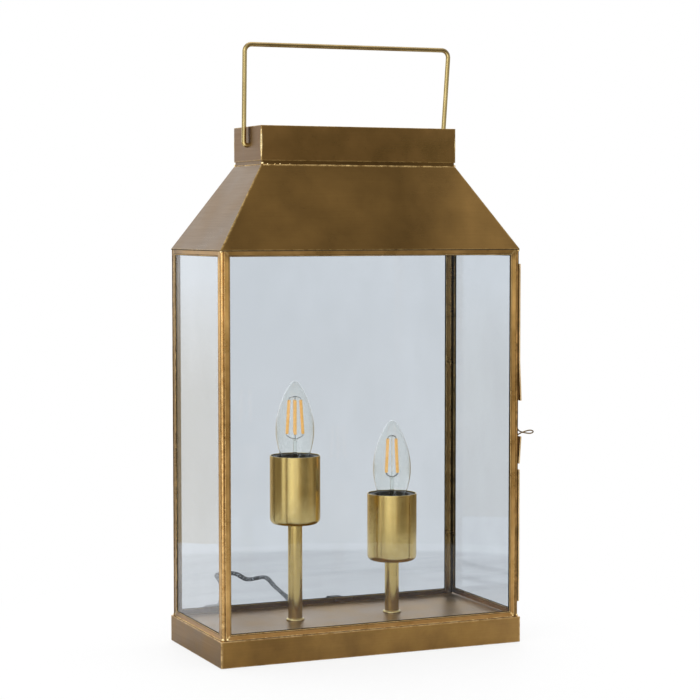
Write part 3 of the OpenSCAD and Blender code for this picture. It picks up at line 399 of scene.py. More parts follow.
def brass(name, dark, mid, worn, rough=0.34, blotch=34.0, lines=(60, 60, 1), line_size=1.0, line_depth=0.014,
          wave=0.0, rub=0.85, spots=0.25, pit=0.35, painted_light_shade=()):
    """Aged sheet brass: two tones in soft blotches, fine rolling lines along one way, tarnish specks,
    metal rubbed bright along the edges, small pits, and a slight waviness of the sheet. Each entry of
    painted_light_shade is painted light or shade along an axis: where the change of tone begins and is
    full, and the three factors of the change, above 1 for painted light and below 1 for painted shade."""
    material, tree, shader, place = start(name)
    patch = remap(tree, cloud(tree, place, blotch, 4.0, 0.55), 0.33, 0.67)
    grain = cloud(tree, place, line_size, 2.0, 0.6, lines)
    speck = remap(tree, cloud(tree, place, 2.2, 2.0, 0.7), 0.66, 0.76)
    tone = blend(tree, patch, tint(dark), tint(mid))
    tone = blend(tree, remap(tree, grain, 0.3, 0.7, 0.0, 0.07), tone, tint(dark), "MULTIPLY")
    tone = blend(tree, calc(tree, "MULTIPLY", speck, spots), tone, (0.02, 0.012, 0.006, 1))
    # painted light and shade: the tone grows lighter or darker along an axis of the piece
    for axis, begins, full, factor in painted_light_shade:
        share = remap(tree, xyz(tree, place)["XYZ".index(axis)], begins * MM, full * MM)
        tone = blend(tree, share, tone, (*factor, 1), "MULTIPLY")
    edge = add(tree, "Attribute", attribute_name="wear", out=2)
    broken = remap(tree, cloud(tree, place, 5.0, 4.0, 0.7), 0.36, 0.62)
    rubbed = calc(tree, "MULTIPLY", calc(tree, "MULTIPLY", edge, broken), rub, True)
    tone = blend(tree, rubbed, tone, tint(worn))
    gloss = calc(tree, "ADD", remap(tree, patch, 0.0, 1.0, rough - 0.04, rough + 0.06),
                 remap(tree, grain, 0.3, 0.7, -0.02, 0.03))
    gloss = calc(tree, "SUBTRACT", gloss, calc(tree, "MULTIPLY", rubbed, 0.1))
    normal = bump(tree, grain, line_depth)
    normal = bump(tree, cloud(tree, place, 3.5, 3.0, 0.6), 0.05, pit, normal)
    if wave:
        normal = bump(tree, cloud(tree, place, 60.0, 1.0, 0.4), wave, 1.0, normal)
    fill(tree, shader, Base_Color=tone, Metallic=1.0, Roughness=gloss, Normal=normal)
    return material


def lacquer(name, colour, pale, rough=0.4, grain=0.8, depth=0.02, metal=0.0, shine=0.5):
    """Moulded plastic or plated metal: a fine even grain, faint scuffs and paler rubbed edges."""
    material, tree, shader, place = start(name)
    fine = cloud(tree, place, grain, 2.0, 0.6)
    broad = cloud(tree, place, 14.0, 4.0, 0.6)
    edge = add(tree, "Attribute", attribute_name="wear", out=2)
    share = calc(tree, "MULTIPLY", edge, remap(tree, cloud(tree, place, 3.0), 0.4, 0.7, 0.0, 0.6))
    share = calc(tree, "ADD", share, remap(tree, broad, 0.45, 0.75, 0.0, 0.2), True)
    tone = blend(tree, share, tint(colour), tint(pale))
    gloss = calc(tree, "ADD", remap(tree, broad, 0.3, 0.7, rough - 0.06, rough + 0.08),
                 remap(tree, fine, 0.3, 0.7, -0.03, 0.03))
    fill(tree, shader, Base_Color=tone, Metallic=metal, Roughness=gloss, Specular_IOR_Level=shine,
         Normal=bump(tree, fine, depth, 0.6))
    return material


def window_glass(name, colour, wave=0.0, ior=1.5):
    """Clear glass with a faint haze; where it has a wave, it is a drawn sheet, faintly wavy and clouded.
    Lamps shine through it: a shadow ray passes straight on."""
    material, tree, shader, place = start(name)
    haze = remap(tree, cloud(tree, place, 30.0, 5.0, 0.7), 0.55, 0.8, 0.0, 0.02)
    fill(tree, shader, Base_Color=tint(colour), Roughness=haze, IOR=ior, Transmission_Weight=1.0)
    if wave:
        breath = remap(tree, cloud(tree, place, 70.0, 4.0, 0.6, (1, 1, 2)), 0.35, 0.7)
        clouded = (*(0.95 * c for c in tint(colour)[:3]), 1.0)
        fill(tree, shader, Base_Color=blend(tree, breath, tint(colour), clouded),
             Normal=bump(tree, cloud(tree, place, 55.0, 1.0, 0.4, (1, 1, 3)), wave, 1.0))
    mixed(tree, add(tree, "LightPath", out=1), shader, add(tree, "BsdfTransparent", {0: tint(colour)}))
    return material


def braid(name, dark, mid, fleck, around, pitch):
    """Woven textile sleeve: strands cross in two slanting ways over the piece's own UV map, each strand
    raised, with pale flecks where single threads of the other colour come up."""
    material, tree, shader, place = start(name)
    u, v, _ = xyz(tree, add(tree, "TexCoord", out=2))
    u, v = calc(tree, "MULTIPLY", u, float(around)), calc(tree, "MULTIPLY", v, 1000.0 / pitch)
    ways = calc(tree, "ADD", u, v), calc(tree, "SUBTRACT", u, v)
    wave_a, wave_b = (calc(tree, "ABSOLUTE", calc(tree, "SINE", calc(tree, "MULTIPLY", way, math.pi)))
                      for way in ways)
    cell_a, cell_b = (calc(tree, "FLOOR", way) for way in ways)
    odd = calc(tree, "FRACT", calc(tree, "MULTIPLY", calc(tree, "ADD", cell_a, cell_b), 0.5))
    height = add(tree, "Mix", {0: calc(tree, "GREATER_THAN", odd, 0.25), 2: wave_a, 3: wave_b}, out=0)
    cell = add(tree, "CombineXYZ", {0: cell_a, 1: cell_b, 2: 0.0})
    chance = add(tree, "TexWhiteNoise", {0: cell}, out=0)
    drift = cloud(tree, place, 9.0, 2.0, 0.5)
    lit = calc(tree, "GREATER_THAN", calc(tree, "ADD", chance, calc(tree, "MULTIPLY", drift, 0.25)), 0.93)
    tone = blend(tree, remap(tree, height, 0.15, 0.95), tint(dark), tint(mid))
    tone = blend(tree, calc(tree, "MULTIPLY", lit, remap(tree, height, 0.3, 0.8)), tone, tint(fleck))
    fill(tree, shader, Base_Color=tone, Roughness=0.85, Normal=bump(tree, height, 0.35, 0.8),
         Specular_IOR_Level=0.25, Sheen_Weight=0.25, Sheen_Roughness=0.5)
    return material


def felt(name, colour, pale):
    """Pressed felt: tangled fibres a third of a millimetre wide, with soft lumps."""
    material, tree, shader, place = start(name)
    hair = cloud(tree, place, 0.5, 5.0, 0.8, (1, 5, 1), (0, 0, 0.6))
    cross = cloud(tree, place, 0.5, 5.0, 0.8, (5, 1, 1), (0, 0, 0.2))
    lumps = cloud(tree, place, 6.0, 3.0, 0.6)
    fibre = calc(tree, "MAXIMUM", hair, cross)
    tone = blend(tree, remap(tree, fibre, 0.4, 0.8), tint(colour), tint(pale))
    height = calc(tree, "ADD", fibre, calc(tree, "MULTIPLY", lumps, 0.8))
    fill(tree, shader, Base_Color=tone, Roughness=0.95, Normal=bump(tree, height, 0.2, 0.9),
         Sheen_Weight=0.4, Specular_IOR_Level=0.15)
    return material


def phosphor(name, colour, deep):
    """The coating of a filament: a matt orange yellow with grains and faint bands where the chips sit."""
    material, tree, shader, place = start(name)
    chips = cloud(tree, place, 1.1, 1.0, 0.5, (8, 8, 1))
    tone = blend(tree, remap(tree, chips, 0.35, 0.65), tint(colour), tint(deep))
    normal = bump(tree, cloud(tree, place, 0.4, 3.0, 0.6), 0.06)
    # The emission is painted light: a faint glow in the coating's own colour that makes the filaments brighter.
    fill(tree, shader, Base_Color=tone, Roughness=0.55, Normal=normal, Emission_Color=tint(colour),
         Emission_Strength=0.55)
    return material


# Painted light and shade: the roof turns a little darker across its middle, then much lighter towards its right
# end.
ROOF_BRASS = brass("aged_brass_roof", "#604826", "#755930", "#dcbc7c", rough=0.3, wave=1.1, blotch=60, rub=0.5,
                   painted_light_shade=(("X", -60, 25, (0.85, 0.85, 0.85)), ("X", 35, 100, (1.85, 1.9, 2.0))))
# Painted light and shade: the collar grows lighter towards its right end, and its left face is darker.
COLLAR_BRASS = brass("aged_brass_collar", "#745930", "#8b6b3e", "#dcbc7c", rough=0.3, wave=0.7, blotch=50, rub=0.6,
                     painted_light_shade=(("X", 20, 85, (1.3, 1.33, 1.4)), ("X", -94.0, -94.9, (0.72, 0.66, 0.56))))
# Painted light and shade: the base's left face is darker, and it grows lighter from left of the middle to the
# right, more so at its right end.
BASE_BRASS = brass("aged_brass_base", "#795c34", "#94723f", "#e2c08a", rough=0.36, wave=0.7,
                   painted_light_shade=(("X", -145.3, -146.1, (0.76, 0.75, 0.7)), ("X", -80, -45, (1.16, 1.19, 1.25)),
                           ("X", 95, 146, (1.2, 1.23, 1.3))))
# Painted light and shade: the frames are darker low down by the base, much darker at the back, lighter over their
# upper part and darker again just under the eave.
FRAME_BRASS = brass("cage_brass", "#b08a50", "#cfa669", "#f3d291", rough=0.3, blotch=22, rub=0.9,
                    painted_light_shade=(("Z", 58, 32, (0.66, 0.6, 0.56)), ("Y", 35, 58, (0.42, 0.42, 0.44)),
                            ("Z", 235, 310, (1.45, 1.5, 1.5)), ("Z", 352, 358, (0.5, 0.48, 0.48))))
# Painted light and shade: the lit copy of the bead brass, for the front bead, darker low down and lighter over its
# upper part.
BEAD_BRASS = brass("lit_bead_brass", "#a88049", "#c49b60", "#ecc88c", rough=0.28, blotch=13, rub=0.6,
                   painted_light_shade=(("Z", 60, 32, (0.7, 0.66, 0.6)), ("Z", 235, 310, (1.6, 1.65, 1.7))))
# Painted shade: the shaded copy of the bead brass, darker, for the beads at the other corners.
SHADED_BEAD_BRASS = brass("shaded_bead_brass", "#5c4626", "#775d36", "#b48c55", rough=0.34, blotch=13, rub=0.6)
PULL_BRASS = brass("pull_brass", "#5c4a2d", "#7a6440", "#a08a5c", rough=0.3, blotch=6, rub=0.5, spots=0.1)
# Painted light: the strips' narrow front edges are made much lighter and bluer, a painted reflection.
STRIP_BRASS = brass("strip_brass", "#a8844d", "#c9a168", "#e8c890", rough=0.5, blotch=14, rub=0.9,
                    painted_light_shade=(("Y", -65.5, -66.0, (1.45, 1.85, 3.0)),))
SOLDER = brass("solder_line", "#b58f50", "#ecca8e", "#ffeebb", rough=0.24, blotch=4, rub=0.9, spots=0.5)
TURNED_BRASS = brass("satin_brass", "#cdaf6a", "#d8bc78", "#f0dda4", rough=0.17, blotch=40, lines=(40, 40, 1),
                     line_size=0.35, line_depth=0.01, spots=0.03, pit=0.08)
# Painted shade: the handle's top bar, from 540 up, is about half as bright as its legs.
WIRE_BRASS = brass("wire_brass", "#ab9763", "#c4b17a", "#dccb96", rough=0.24, blotch=24, lines=(2, 2, 2),
                   line_size=1.2, line_depth=0.003, spots=0.0, pit=0.0,
                   painted_light_shade=(("Z", 540, 545, (0.5, 0.46, 0.46)),))
STEEL = lacquer("plated_steel", "#9fa2a4", "#d0d2d4", rough=0.3, metal=1.0, grain=0.5, depth=0.008)
BLACK = lacquer("black_plastic", "#191a1b", "#3a3b3d", rough=0.38)
ROCKER = lacquer("grey_plastic", "#2c2d30", "#54565a", rough=0.32)
BAKELITE = lacquer("black_bakelite", "#0f0f10", "#232220", rough=0.45, shine=0.14)
# Painted shade: a dark brown for the thin lines that stand for shadow in the frames' channels and under the eave.
PAINTED_SHADE = lacquer("glazing_putty", "#3d301c", "#5d4a2d", rough=0.7, grain=1.4, depth=0.05, shine=0.2)
WHITE = lacquer("white_plastic", "#e4e0d4", "#f2efe6", rough=0.45)
SLEEVE = lacquer("wire_sleeve", "#7a4a2a", "#8d5d3a", rough=0.5)
PANE = window_glass("pane_glass", "#e6eaee", wave=0.25, ior=1.3)
BULB = window_glass("bulb_glass", "#fcfdfb", ior=1.3)
MOUNT = window_glass("mount_glass", "#f2f5f2", ior=1.5)
FLEX = braid("textile_flex", "#0f1113", "#353b40", "#c3c8cc", around=8, pitch=2.0)
FELT = felt("felt_pad", "#26272a", "#3d3f43")
STRAP = felt("hook_strap", "#141516", "#2a2b2d")
COATING = phosphor("filament_coating", "#f7c071", "#eda94e")


# ---------------------------------------------------------------- the flex

to_switch = [[0, 66, 14.5], [0, 92, 14.5], [0, 98, 14.5], [1.5, 113, 11], [5.5, 131, 6.2], [12, 155, 3.1],
             [27.5, 213, 2.9], [38.5, 276, 3.2], [42, 301, 5.2], [41.2, 315, 6.8], [34.6, 324, 4.8],
             [28.8, 334, 3], [25.5, 342.6, 4.2], [21.6, 350.2, 6.2], [14.8, 354.8, 6.9], [6.6, 354, 7],
             [0.8, 348.4, 6.6], [-1.8, 339, 5.4], [-10, 303, 3], [-39, 226, 2.9], [-54.6, 194, 3.6],
             [-69.6, 168.6, 6.4], [-74, 157, 7], [-74, 152, 7]]
to_coil = [[-74, 94, 7], [-74, 89, 7], [-72.4, 82.4, 6.2], [-68.2, 77.2, 5.2], [-61.6, 74.2, 3.9],
           [-25, 72.6, 2.9], [42, 75.8625, 3.6], [48, 75.8625, 3.6]]
to_plug = [[90.1375, 118, 9.8], [90.1375, 126, 9.8], [92, 137.4, 9.4], [100, 145, 8.6], [111.4, 144.4, 7.8],
           [119, 136.4, 7.2], [120, 130, 6.9], [120, 127, 6.9]]
COIL_AT, COIL_R, COIL_Z, COIL_TURNS, COIL_PITCH = (52.0, 114.0), 38.1375, 3.6, 5.25, 6.2


def run(points):
    """The flex's middle line: straight first and last runs, smooth between them."""
    return np.concatenate([points[:1], curve(points[1:-1], 8), points[-1:]])


def coil():
    """The coil's middle line: r = R - pitch t on the way in and the same on the way out, angle
    -90° + 360° t, and a climb of one layer over the half turn where it reverses."""
    t = span(0, COIL_TURNS, int(COIL_TURNS * 60) + 1)
    half = COIL_TURNS / 2
    r = COIL_R - COIL_PITCH * np.where(t < half, t, 2 * half - t)
    a = np.radians(-90 + 360 * t)
    z = COIL_Z + COIL_PITCH * ease((t - half + 0.25) / 0.5)
    return np.stack([COIL_AT[0] + r * np.cos(a), COIL_AT[1] + r * np.sin(a), z], -1)


def flex():
    """The whole flex: a flat twin section, x = a cos φ and y = b sin φ less a groove of depth
    0.3 exp(-(x / 0.7)²) along the middle of each face. It lies flat on the table, and stands on edge in
    the coil, where it bends about its thin way."""
    turns = coil()
    through = [[SWITCH_X, SWITCH_Y + y, FLEX_LOW] for y in (17, 0, -17)]
    line = evenly(np.concatenate([run(to_switch), through, run(to_coil)[:-1], turns, run(to_plug)[1:]]), 1.5)
    s = lengths(line)
    starts = s[np.argmin(np.linalg.norm(line - turns[0], axis=1))]
    ends = s[np.argmin(np.linalg.norm(line - turns[-1], axis=1))]
    on_edge = ease((s - starts + 50) / 45) * ease((ends + 50 - s) / 45)
    lean = 0.42 * np.sin(s / 47.0 + 0.6) + 0.2 * np.sin(s / 19.0)
    roll = on_edge * math.pi / 2 + lean * ease((s - 60) / 60) * (1 - on_edge)
    line[:, 2] -= 0.62 * np.cos(roll) ** 2 * (1 - ease((line[:, 2] - 3.4) / 2.2)) * (1 - on_edge)
    a = circle(28)
    x, y = 2.75 * np.cos(a), 2.05 * np.sign(np.sin(a)) * np.abs(np.sin(a)) ** 0.8
    y = y - np.sign(y) * 0.42 * np.exp(-(x / 0.75) ** 2)
    return line, carried(line, np.stack([x, y], -1), roll=roll)


flex_line, flex_part = flex()
flex_piece = make("flex", flex_part, FLEX, "lamp_body", "textile_flex",
                  "cord_to_switch", "cord_to_coil", "cord_to_plug", "cord_coil", crease=60)
tail_end = carried([[0, y, EXIT_Z] for y in span(29.5, 64, 24)], round_section(1.0, 24) * [2.75, 2.1])
make("flex_tail", tail_end, FLEX, "lamp_body", "textile_flex", crease=60)


# ---------------------------------------------------------------- base

def base_tray():
    """The tray: one sheet folded down on four sides, with the cover's lugs inside its corners."""
    x, y, under = BASE_X - SHEET, BASE_Y - SHEET, FLOOR_Z - SHEET
    rows, rub = soften([(0, 0, 0, FLOOR_Z), (BASE_X, BASE_Y, 0.7, FLOOR_Z), (BASE_X, BASE_Y, 0.7, 0.6),
                        (x, y, 0.4, 0.6), (x, y, 0.4, under), (0, 0, 0, under)],
                       [0, 0.5, 0.25, 0.25, 0.2, 0], loop=False)
    lug, worn = box_rows(8, 8, 2.6, 3.8, 0.5, 0.2)
    lugs = [moved(loft(lug, side=3, arc=2, loop=False, wear=worn), at=(sx * LUG_X, sy * LUG_Y, 0))
            for sx, sy in QUARTERS]
    return [loft(rows, side=24, loop=False, wear=rub)] + lugs


make("tray", base_tray(), BASE_BRASS, "lamp_body", "base_brass", "base_tray")


# ---------------------------------------------------------------- cage

def pane_plane(node):
    """A frame's size and middle, which of its axes is across the pane, and which runs along it."""
    lo, hi = (np.array(c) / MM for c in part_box(node))
    across = int(np.argmin(hi - lo))
    return hi - lo, (hi + lo) / 2, across, 1 if across == 0 else 0


def round_the_frame(node, outline, side, wear=0.0):
    """An outline of (inset, depth from the frame's middle) carried round a frame with mitred corners."""
    size, mid, across, wide = pane_plane(node)
    rows = np.stack([size[wide] / 2 - outline[:, 0], size[2] / 2 - outline[:, 0],
                     np.full(len(outline), 0.05), outline[:, 1]], -1)
    p, *rest = loft(rows, side=side, arc=2, wear=wear)
    q = np.empty_like(p)
    q[:, wide], q[:, 2], q[:, across] = p[:, 0], p[:, 1], p[:, 2]
    return outwards(q + mid, *rest)


def glazing_frame(node):
    """A frame of folded channel round a pane. Its place and size are the CAD node's."""
    size, _, across, _ = pane_plane(node)
    t, face, wall = size[across], 5.0, 0.6
    outline, rub = soften([(0, 0), (0, t), (face, t), (face, t - wall), (wall, t - wall), (wall, wall),
                           (face, wall), (face, 0)], [0.3, 0.3, 0.2, 0.15, 0.1, 0.1, 0.15, 0.2], fade=0.9)
    return round_the_frame(node, outline - [0, t / 2], 26, rub)


def channel_shade_bead(name):
    """The dark line of painted shade in the mouth of a frame's channel, on both faces of its pane: a thin
    line on the channel's face, 4 to 4.5 from its edge, and a slope from the channel's lip down to the pane."""
    size, mid, across, _ = pane_plane(name + "_frame")
    glass = [c[across] / MM - mid[across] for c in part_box(name + "_pane")]
    parts = []
    for out, face in zip((-1, 1), glass):
        lip, pane = out * size[across] / 2, face + out * 0.02
        section = [(4.0, lip + out * 0.03), (4.5, lip + out * 0.03), (4.5, lip - out * 0.3),
                   (4.95, lip - out * 0.25), (5.5, pane), (4.9, pane), (4.6, lip - out * 0.45),
                   (4.0, lip - out * 0.2)]
        parts.append(round_the_frame(name + "_frame", np.array(section), 20))
    return parts


SIDES = {"front": "lamp_body", "back": "lamp_body", "left": "lamp_body", "door": "door"}
for side, body in SIDES.items():
    make(side + "_glazing", glazing_frame(side + "_frame"), FRAME_BRASS, body, "cage_brass", side + "_frame")
# dark lines of painted shade in each frame's channel
for side, body in SIDES.items():
    make(side + "_putty", channel_shade_bead(side), PAINTED_SHADE, body, "cage_brass")


def post_strip(x, y, w, d):
    """The upright strip inside a corner, w by d, with rounded edges."""
    rows, rub = box_rows(w / 2, d / 2, FLOOR_Z, EAVE_Z, 0.25, 0.225)
    rows = np.concatenate([rows[:8], [[*rows[7][:3], z] for z in span(FLOOR_Z + 6, EAVE_Z - 6, 30)], rows[8:]])
    rub = np.concatenate([rub[:8], np.zeros(30), rub[8:]])
    return moved(loft(rows, side=3, arc=2, loop=False, wear=rub), at=(x, y, 0))


def post_bead(x, y, seed):
    """The round bead down a corner: a rod whose radius wanders by a few hundredths."""
    z = span(FLOOR_Z, EAVE_Z, 120)
    grow = 1 - 0.03 * (0.5 + 0.5 * np.sin(z / 9 + seed)) - 0.02 * (0.5 + 0.5 * np.sin(z / 3.7 + 2 * seed))
    return carried(upright(x, y, z), round_section(BEAD_R, 20), side=(0, 1, 0), grow=grow,
                   wear=0.55 + 0.45 * np.sin(z / 23 + seed) ** 2)


beads, strips = [], []
for sx, sy in ((-1, -1), (1, -1), (-1, 1)):
    cx, cy = sx * CAGE_W / 2, sy * CAGE_D / 2
    beads.append(post_bead(cx - sx * BEAD_R, cy - sy * BEAD_R, sx + 2 * sy))
    strips.append(post_strip(cx - sx * 1.35, cy - sy * 2.65, 2.1, 2.1))
strips.append(post_strip(140.0, 64.3, 2.4, 3.4))
make("posts", strips, FRAME_BRASS, "lamp_body", "cage_brass", "corner_posts")
# the front bead takes the lit copy of the bead brass and the others the shaded copy: painted light and shade
make("front_bead", beads[:1], BEAD_BRASS, "lamp_body", "cage_brass")
make("post_beads", beads[1:], SHADED_BEAD_BRASS, "lamp_body", "cage_brass")


def solder_run(a, b, z, size, seed):
    """A thin level bead of solder from a to b whose size swells and thins like a hand-drawn seam: three
    sines along its length, and narrow bumps at odd places."""
    a, b = np.array([*a, z], float), np.array([*b, z], float)
    length = np.linalg.norm(b - a)
    n = int(length / 1.2)
    t = span(0, 1, n)
    s = t * length
    swell = 0.72 + sum(k * np.sin(s / w + m * seed) for k, w, m in ((0.16, 3.1, 1), (0.12, 1.3, 2), (0.1, 7.9, 3)))
    lumps = np.mod(np.array([0.07, 0.23, 0.36, 0.62, 0.79, 0.93]) + seed * 0.37, 1) * length
    swell += 0.315 * np.exp(-((s[:, None] - lumps) / 1.1) ** 2).sum(1)
    grow = swell * np.minimum(1, np.minimum(t, 1 - t) * n / 2 + 0.35)
    return carried(a + (b - a) * t[:, None], round_section(size, 8), grow=grow,
                   wear=0.5 + 0.5 * np.clip(grow, 0, 1))


def solder_drops(places):
    """Lumps of solder, each (x, y, z, r): spheres whose radius is r (1 + 0.2 ripple)."""
    b = span(-math.pi / 2, math.pi / 2, 10)[:, None]
    a = circle(16)
    ball = np.stack([np.cos(b) * np.cos(a), np.cos(b) * np.sin(a), np.sin(b) + 0 * a], -1)
    return [skin(ball * (r * (1 + 0.2 * ripple(ball * 3, 5, seed)))[..., None] + np.array(at), wear=1.0)
            for seed, (*at, r) in enumerate(places, 1)]


make("cage_solder", [
    solder_run((-140.4, -66.15), (140.4, -66.15), 24.35, 0.5, 0.3),
    solder_run((-144.5, -62), (-144.5, 62), 24.3, 0.5, 2.9),
    solder_run((-140.4, 66.1), (137.4, 66.1), 24.3, 0.5, 5.3),
    *solder_drops([(-144.0, -65.6, 25.2, 1.5), (143.8, -65.4, 25.0, 1.4), (-143.8, 65.2, 25.0, 1.3),
                   (-144.0, -65.4, 361.4, 1.3), (143.8, -65.4, 361.4, 1.2), (140.0, 64.6, 25.0, 1.4),
                   (-139.8, -65.9, 24.9, 1.1), (139.6, -65.9, 24.9, 1.0)]),
], SOLDER, "lamp_body", "cage_brass")


# ---------------------------------------------------------------- door strips and pull

STRIP_Y0, STRIP_W, STRIP_T, DOOR_X, FLARE = -66.1, 9.0, 1.2, 145.0, 1.65


def closing_strip(z0, z1, bowed=""):
    """A flat strip on the door's face, its section a rounded bar carried up the door; its bowed end, the
    low or the high one, leans out evenly to FLARE over 36 mm or its whole length."""
    z = np.concatenate([span(z0, z0 + 1, 4), span(z0 + 1.6, z1 - 1.6, 70), span(z1 - 1, z1, 4)])
    long = min(36.0, z1 - z0)
    share = {"low": (z0 + long - z) / long, "high": (z - z1 + long) / long, "": 0 * z}[bowed]
    x = DOOR_X + STRIP_T / 2 + FLARE * np.clip(share, 0, 1)
    line = np.stack([x, np.full(len(z), STRIP_Y0 + STRIP_W / 2), z], -1)
    bar = np.array([(-1, -1), (1, -1), (1, 1), (-1, 1)]) * [STRIP_W / 2, STRIP_T / 2]
    outline, rub = soften(bar, 0.28)
    ends = np.minimum(z - z0, z1 - z)
    grow = 1 - 0.04 * np.clip(1 - ends / 0.7, 0, 1) ** 2
    wear = np.maximum(rub[None, :], np.clip(1 - ends / 2, 0, 1)[:, None])
    return carried(line, outline, side=(1, 0, 0), grow=grow, wear=wear)


make("closing_strips", [closing_strip(223.5, 349, "low"), closing_strip(165.5, 190.5, "high"),
                        closing_strip(38, 160)], STRIP_BRASS, "door", "cage_brass", "door_strips")


def pull_wire():
    """The pull: two legs behind the strips, and between them a loop that stands out and crosses itself."""
    loop_x, cross, half = 16.7, 5.58, 1.35
    wire = [[0, 0, 4.5], [0.4, 0, 3.2], [2, 0.2, 1.4], [cross, 0.7, -0.1], [loop_x * 0.68, 0.3, -half],
            [loop_x * 0.9, 0, -half * 0.9], [loop_x, 0, 0], [loop_x * 0.9, 0, half * 0.9],
            [loop_x * 0.68, -0.3, half], [cross, -0.7, 0.1], [2, -0.2, -1.4], [0.4, 0, -2.4], [0, 0, -3]]
    line = np.concatenate([[[0, 0, 34.5], [0, 0, 20]], curve(wire, 7), [[0, 0, -7.5]]]) + [145.7, -61.6, 194.0]
    return carried(evenly(line, 0.5), round_section(0.6, 12), side=(0, 1, 0), wear=0.1)


make("pull_wire", pull_wire(), PULL_BRASS, "pull", "satin_brass", "door_pull", crease=60)


# ---------------------------------------------------------------- roof

def roof_shell():
    """The hipped roof and its neck: one closed sheet, from the eave up the slope, round the neck and back
    down inside to the return that lies on the cage."""
    out, inner = (COLLAR_X - 0.9, COLLAR_Y - 0.9, 0.4), (COLLAR_X - 1.7, COLLAR_Y - 1.7, 0.3)
    outline = [(145.1, 66.7, 0.8, EAVE_Z), (COLLAR_X, COLLAR_Y, 0.6, NECK_Z), (*out, NECK_Z), (*out, 447),
               (*inner, 447), (*inner, NECK_Z - SHEET), (143.6, 65.5, 0.3, EAVE_Z + SHEET),
               (140.1, 61.7, 0.3, EAVE_Z + SHEET), (140.1, 61.7, 0.3, EAVE_Z)]
    rows, rub = soften(outline, [0.35, 0.4, 0.3, 0.2, 0.2, 0.2, 0.2, 0.2, 0.2])
    n = 8                                     # points a softened corner has: the slope lies after the first
    t = span(0.04, 0.96, 22)[:, None]
    slope = rows[n - 1] + (rows[n] - rows[n - 1]) * t
    rows = np.concatenate([rows[:n], slope, rows[n:]])
    rub = np.concatenate([rub[:n], np.zeros(len(slope)), rub[n:]])
    return loft(rows, side=40, arc=4, wear=rub)


def collar_shell():
    """The collar: a rectangular sleeve of sheet with worn upper and lower edges."""
    out, inner = (COLLAR_X, COLLAR_Y, 0.6), (COLLAR_X - SHEET, COLLAR_Y - SHEET, 0.3)
    rows, rub = soften([(*out, COLLAR_Z), (*out, COLLAR_TOP), (*inner, COLLAR_TOP), (*inner, COLLAR_Z)],
                       [0.3, 0.3, 0.2, 0.2])
    return loft(rows, side=30, arc=4, wear=rub)


make("roof_sheet", roof_shell(), ROOF_BRASS, "lamp_body", "aged_brass", "roof")
make("collar_sheet", collar_shell(), COLLAR_BRASS, "lamp_body", "aged_brass", "roof_collar")
lid, lid_rub = box_rows(COLLAR_X - 0.9, COLLAR_Y - 0.9, COLLAR_TOP - SHEET, COLLAR_TOP, 0.3, 0.2)
make("lid_sheet", loft(lid, side=20, loop=False, wear=lid_rub), ROOF_BRASS, "lamp_body", "aged_brass",
     "collar_lid")
neck = (((-94.6, -33.9), (94.6, -33.9)), ((94.7, -33.9), (94.7, 33.9)), ((94.6, 33.9), (-94.6, 33.9)),
        ((-94.7, 33.9), (-94.7, -33.9)))
make("neck_seam", [solder_run(a, b, 437.6, 0.4, 0.9 * k + 0.2) for k, (a, b) in enumerate(neck)],
     FRAME_BRASS, "lamp_body", "aged_brass")
# Painted shade: thin dark rods along the eave where the roof meets the cage, for the shadow under the roof's edge.
eave = (((-144.3, -66.35), (144.4, -66.35)), ((-144.75, -66), (-144.75, 66)), ((-144.3, 66.35), (144.4, 66.35)))
make("eave_shadow_line", [carried(np.linspace((*a, 362.1), (*b, 362.1), 60), round_section(0.38, 8)) for a, b in eave],
     PAINTED_SHADE, "lamp_body", "aged_brass")


def corner_seam(x, y, size):
    """The soldered upright corner of the collar: a rod whose radius is size (1 - (2t - 1)²) + 0.15."""
    t = span(0, 1, 40)
    return carried(upright(x, y, COLLAR_Z + 0.3 + 30.4 * t), round_section(1.0, 14), side=(0, 1, 0),
                   grow=size * (1 - (2 * t - 1) ** 2) + 0.15, wear=1.0)


make("collar_solder", [
    *(corner_seam(sx * 94.6, sy * 33.75, 1.0 if sx + sy == -2 else 0.5) for sx, sy in QUARTERS),
    *solder_drops([(-94.1, -34.3, 438.6, 1.3), (-89, -33.9, 438.0, 0.8), (-82, -33.9, 437.9, 0.7),
                   (-77, -33.9, 438.0, 0.8), (-68, -33.9, 437.9, 0.65), (94.4, -33.9, 438.2, 0.9),
                   (-94.4, 33.9, 438.2, 0.9), (94.4, 33.9, 438.2, 0.9)]),
], SOLDER, "lamp_body", "aged_brass")


# ---------------------------------------------------------------- carry handle

def handle_wire():
    """The handle: one wire, in through the collar at each foot, up two legs and across."""
    leg, end, h, lean = COLLAR_X + 1.2 + WIRE_R, COLLAR_X - 7, 90.7, 6.2
    line = bent([[-end, 0, 0], [-leg, 0, 0], [-leg + 1.2, 0, h - 1], [leg + lean, 0, h], [leg, 0, 0], [end, 0, 0]],
                [WIRE_R + 1, 6.5, 6.5, WIRE_R + 1])
    return carried(evenly(line, 1.0) + [0, 0, HANDLE_Z], round_section(WIRE_R, 24), side=(0, 1, 0), wear=0.05)


make("handle_wire", handle_wire(), WIRE_BRASS, "handle", "wire_brass", "carry_handle", crease=60)


# ---------------------------------------------------------------- lamps

def lower_edge(r, c, z):
    """A quarter arc of radius c from the underside at height z to a wall of radius r."""
    a = span(0, math.pi / 2, 9)
    return np.stack([r - c + c * np.sin(a), z + c - c * np.cos(a)], -1)


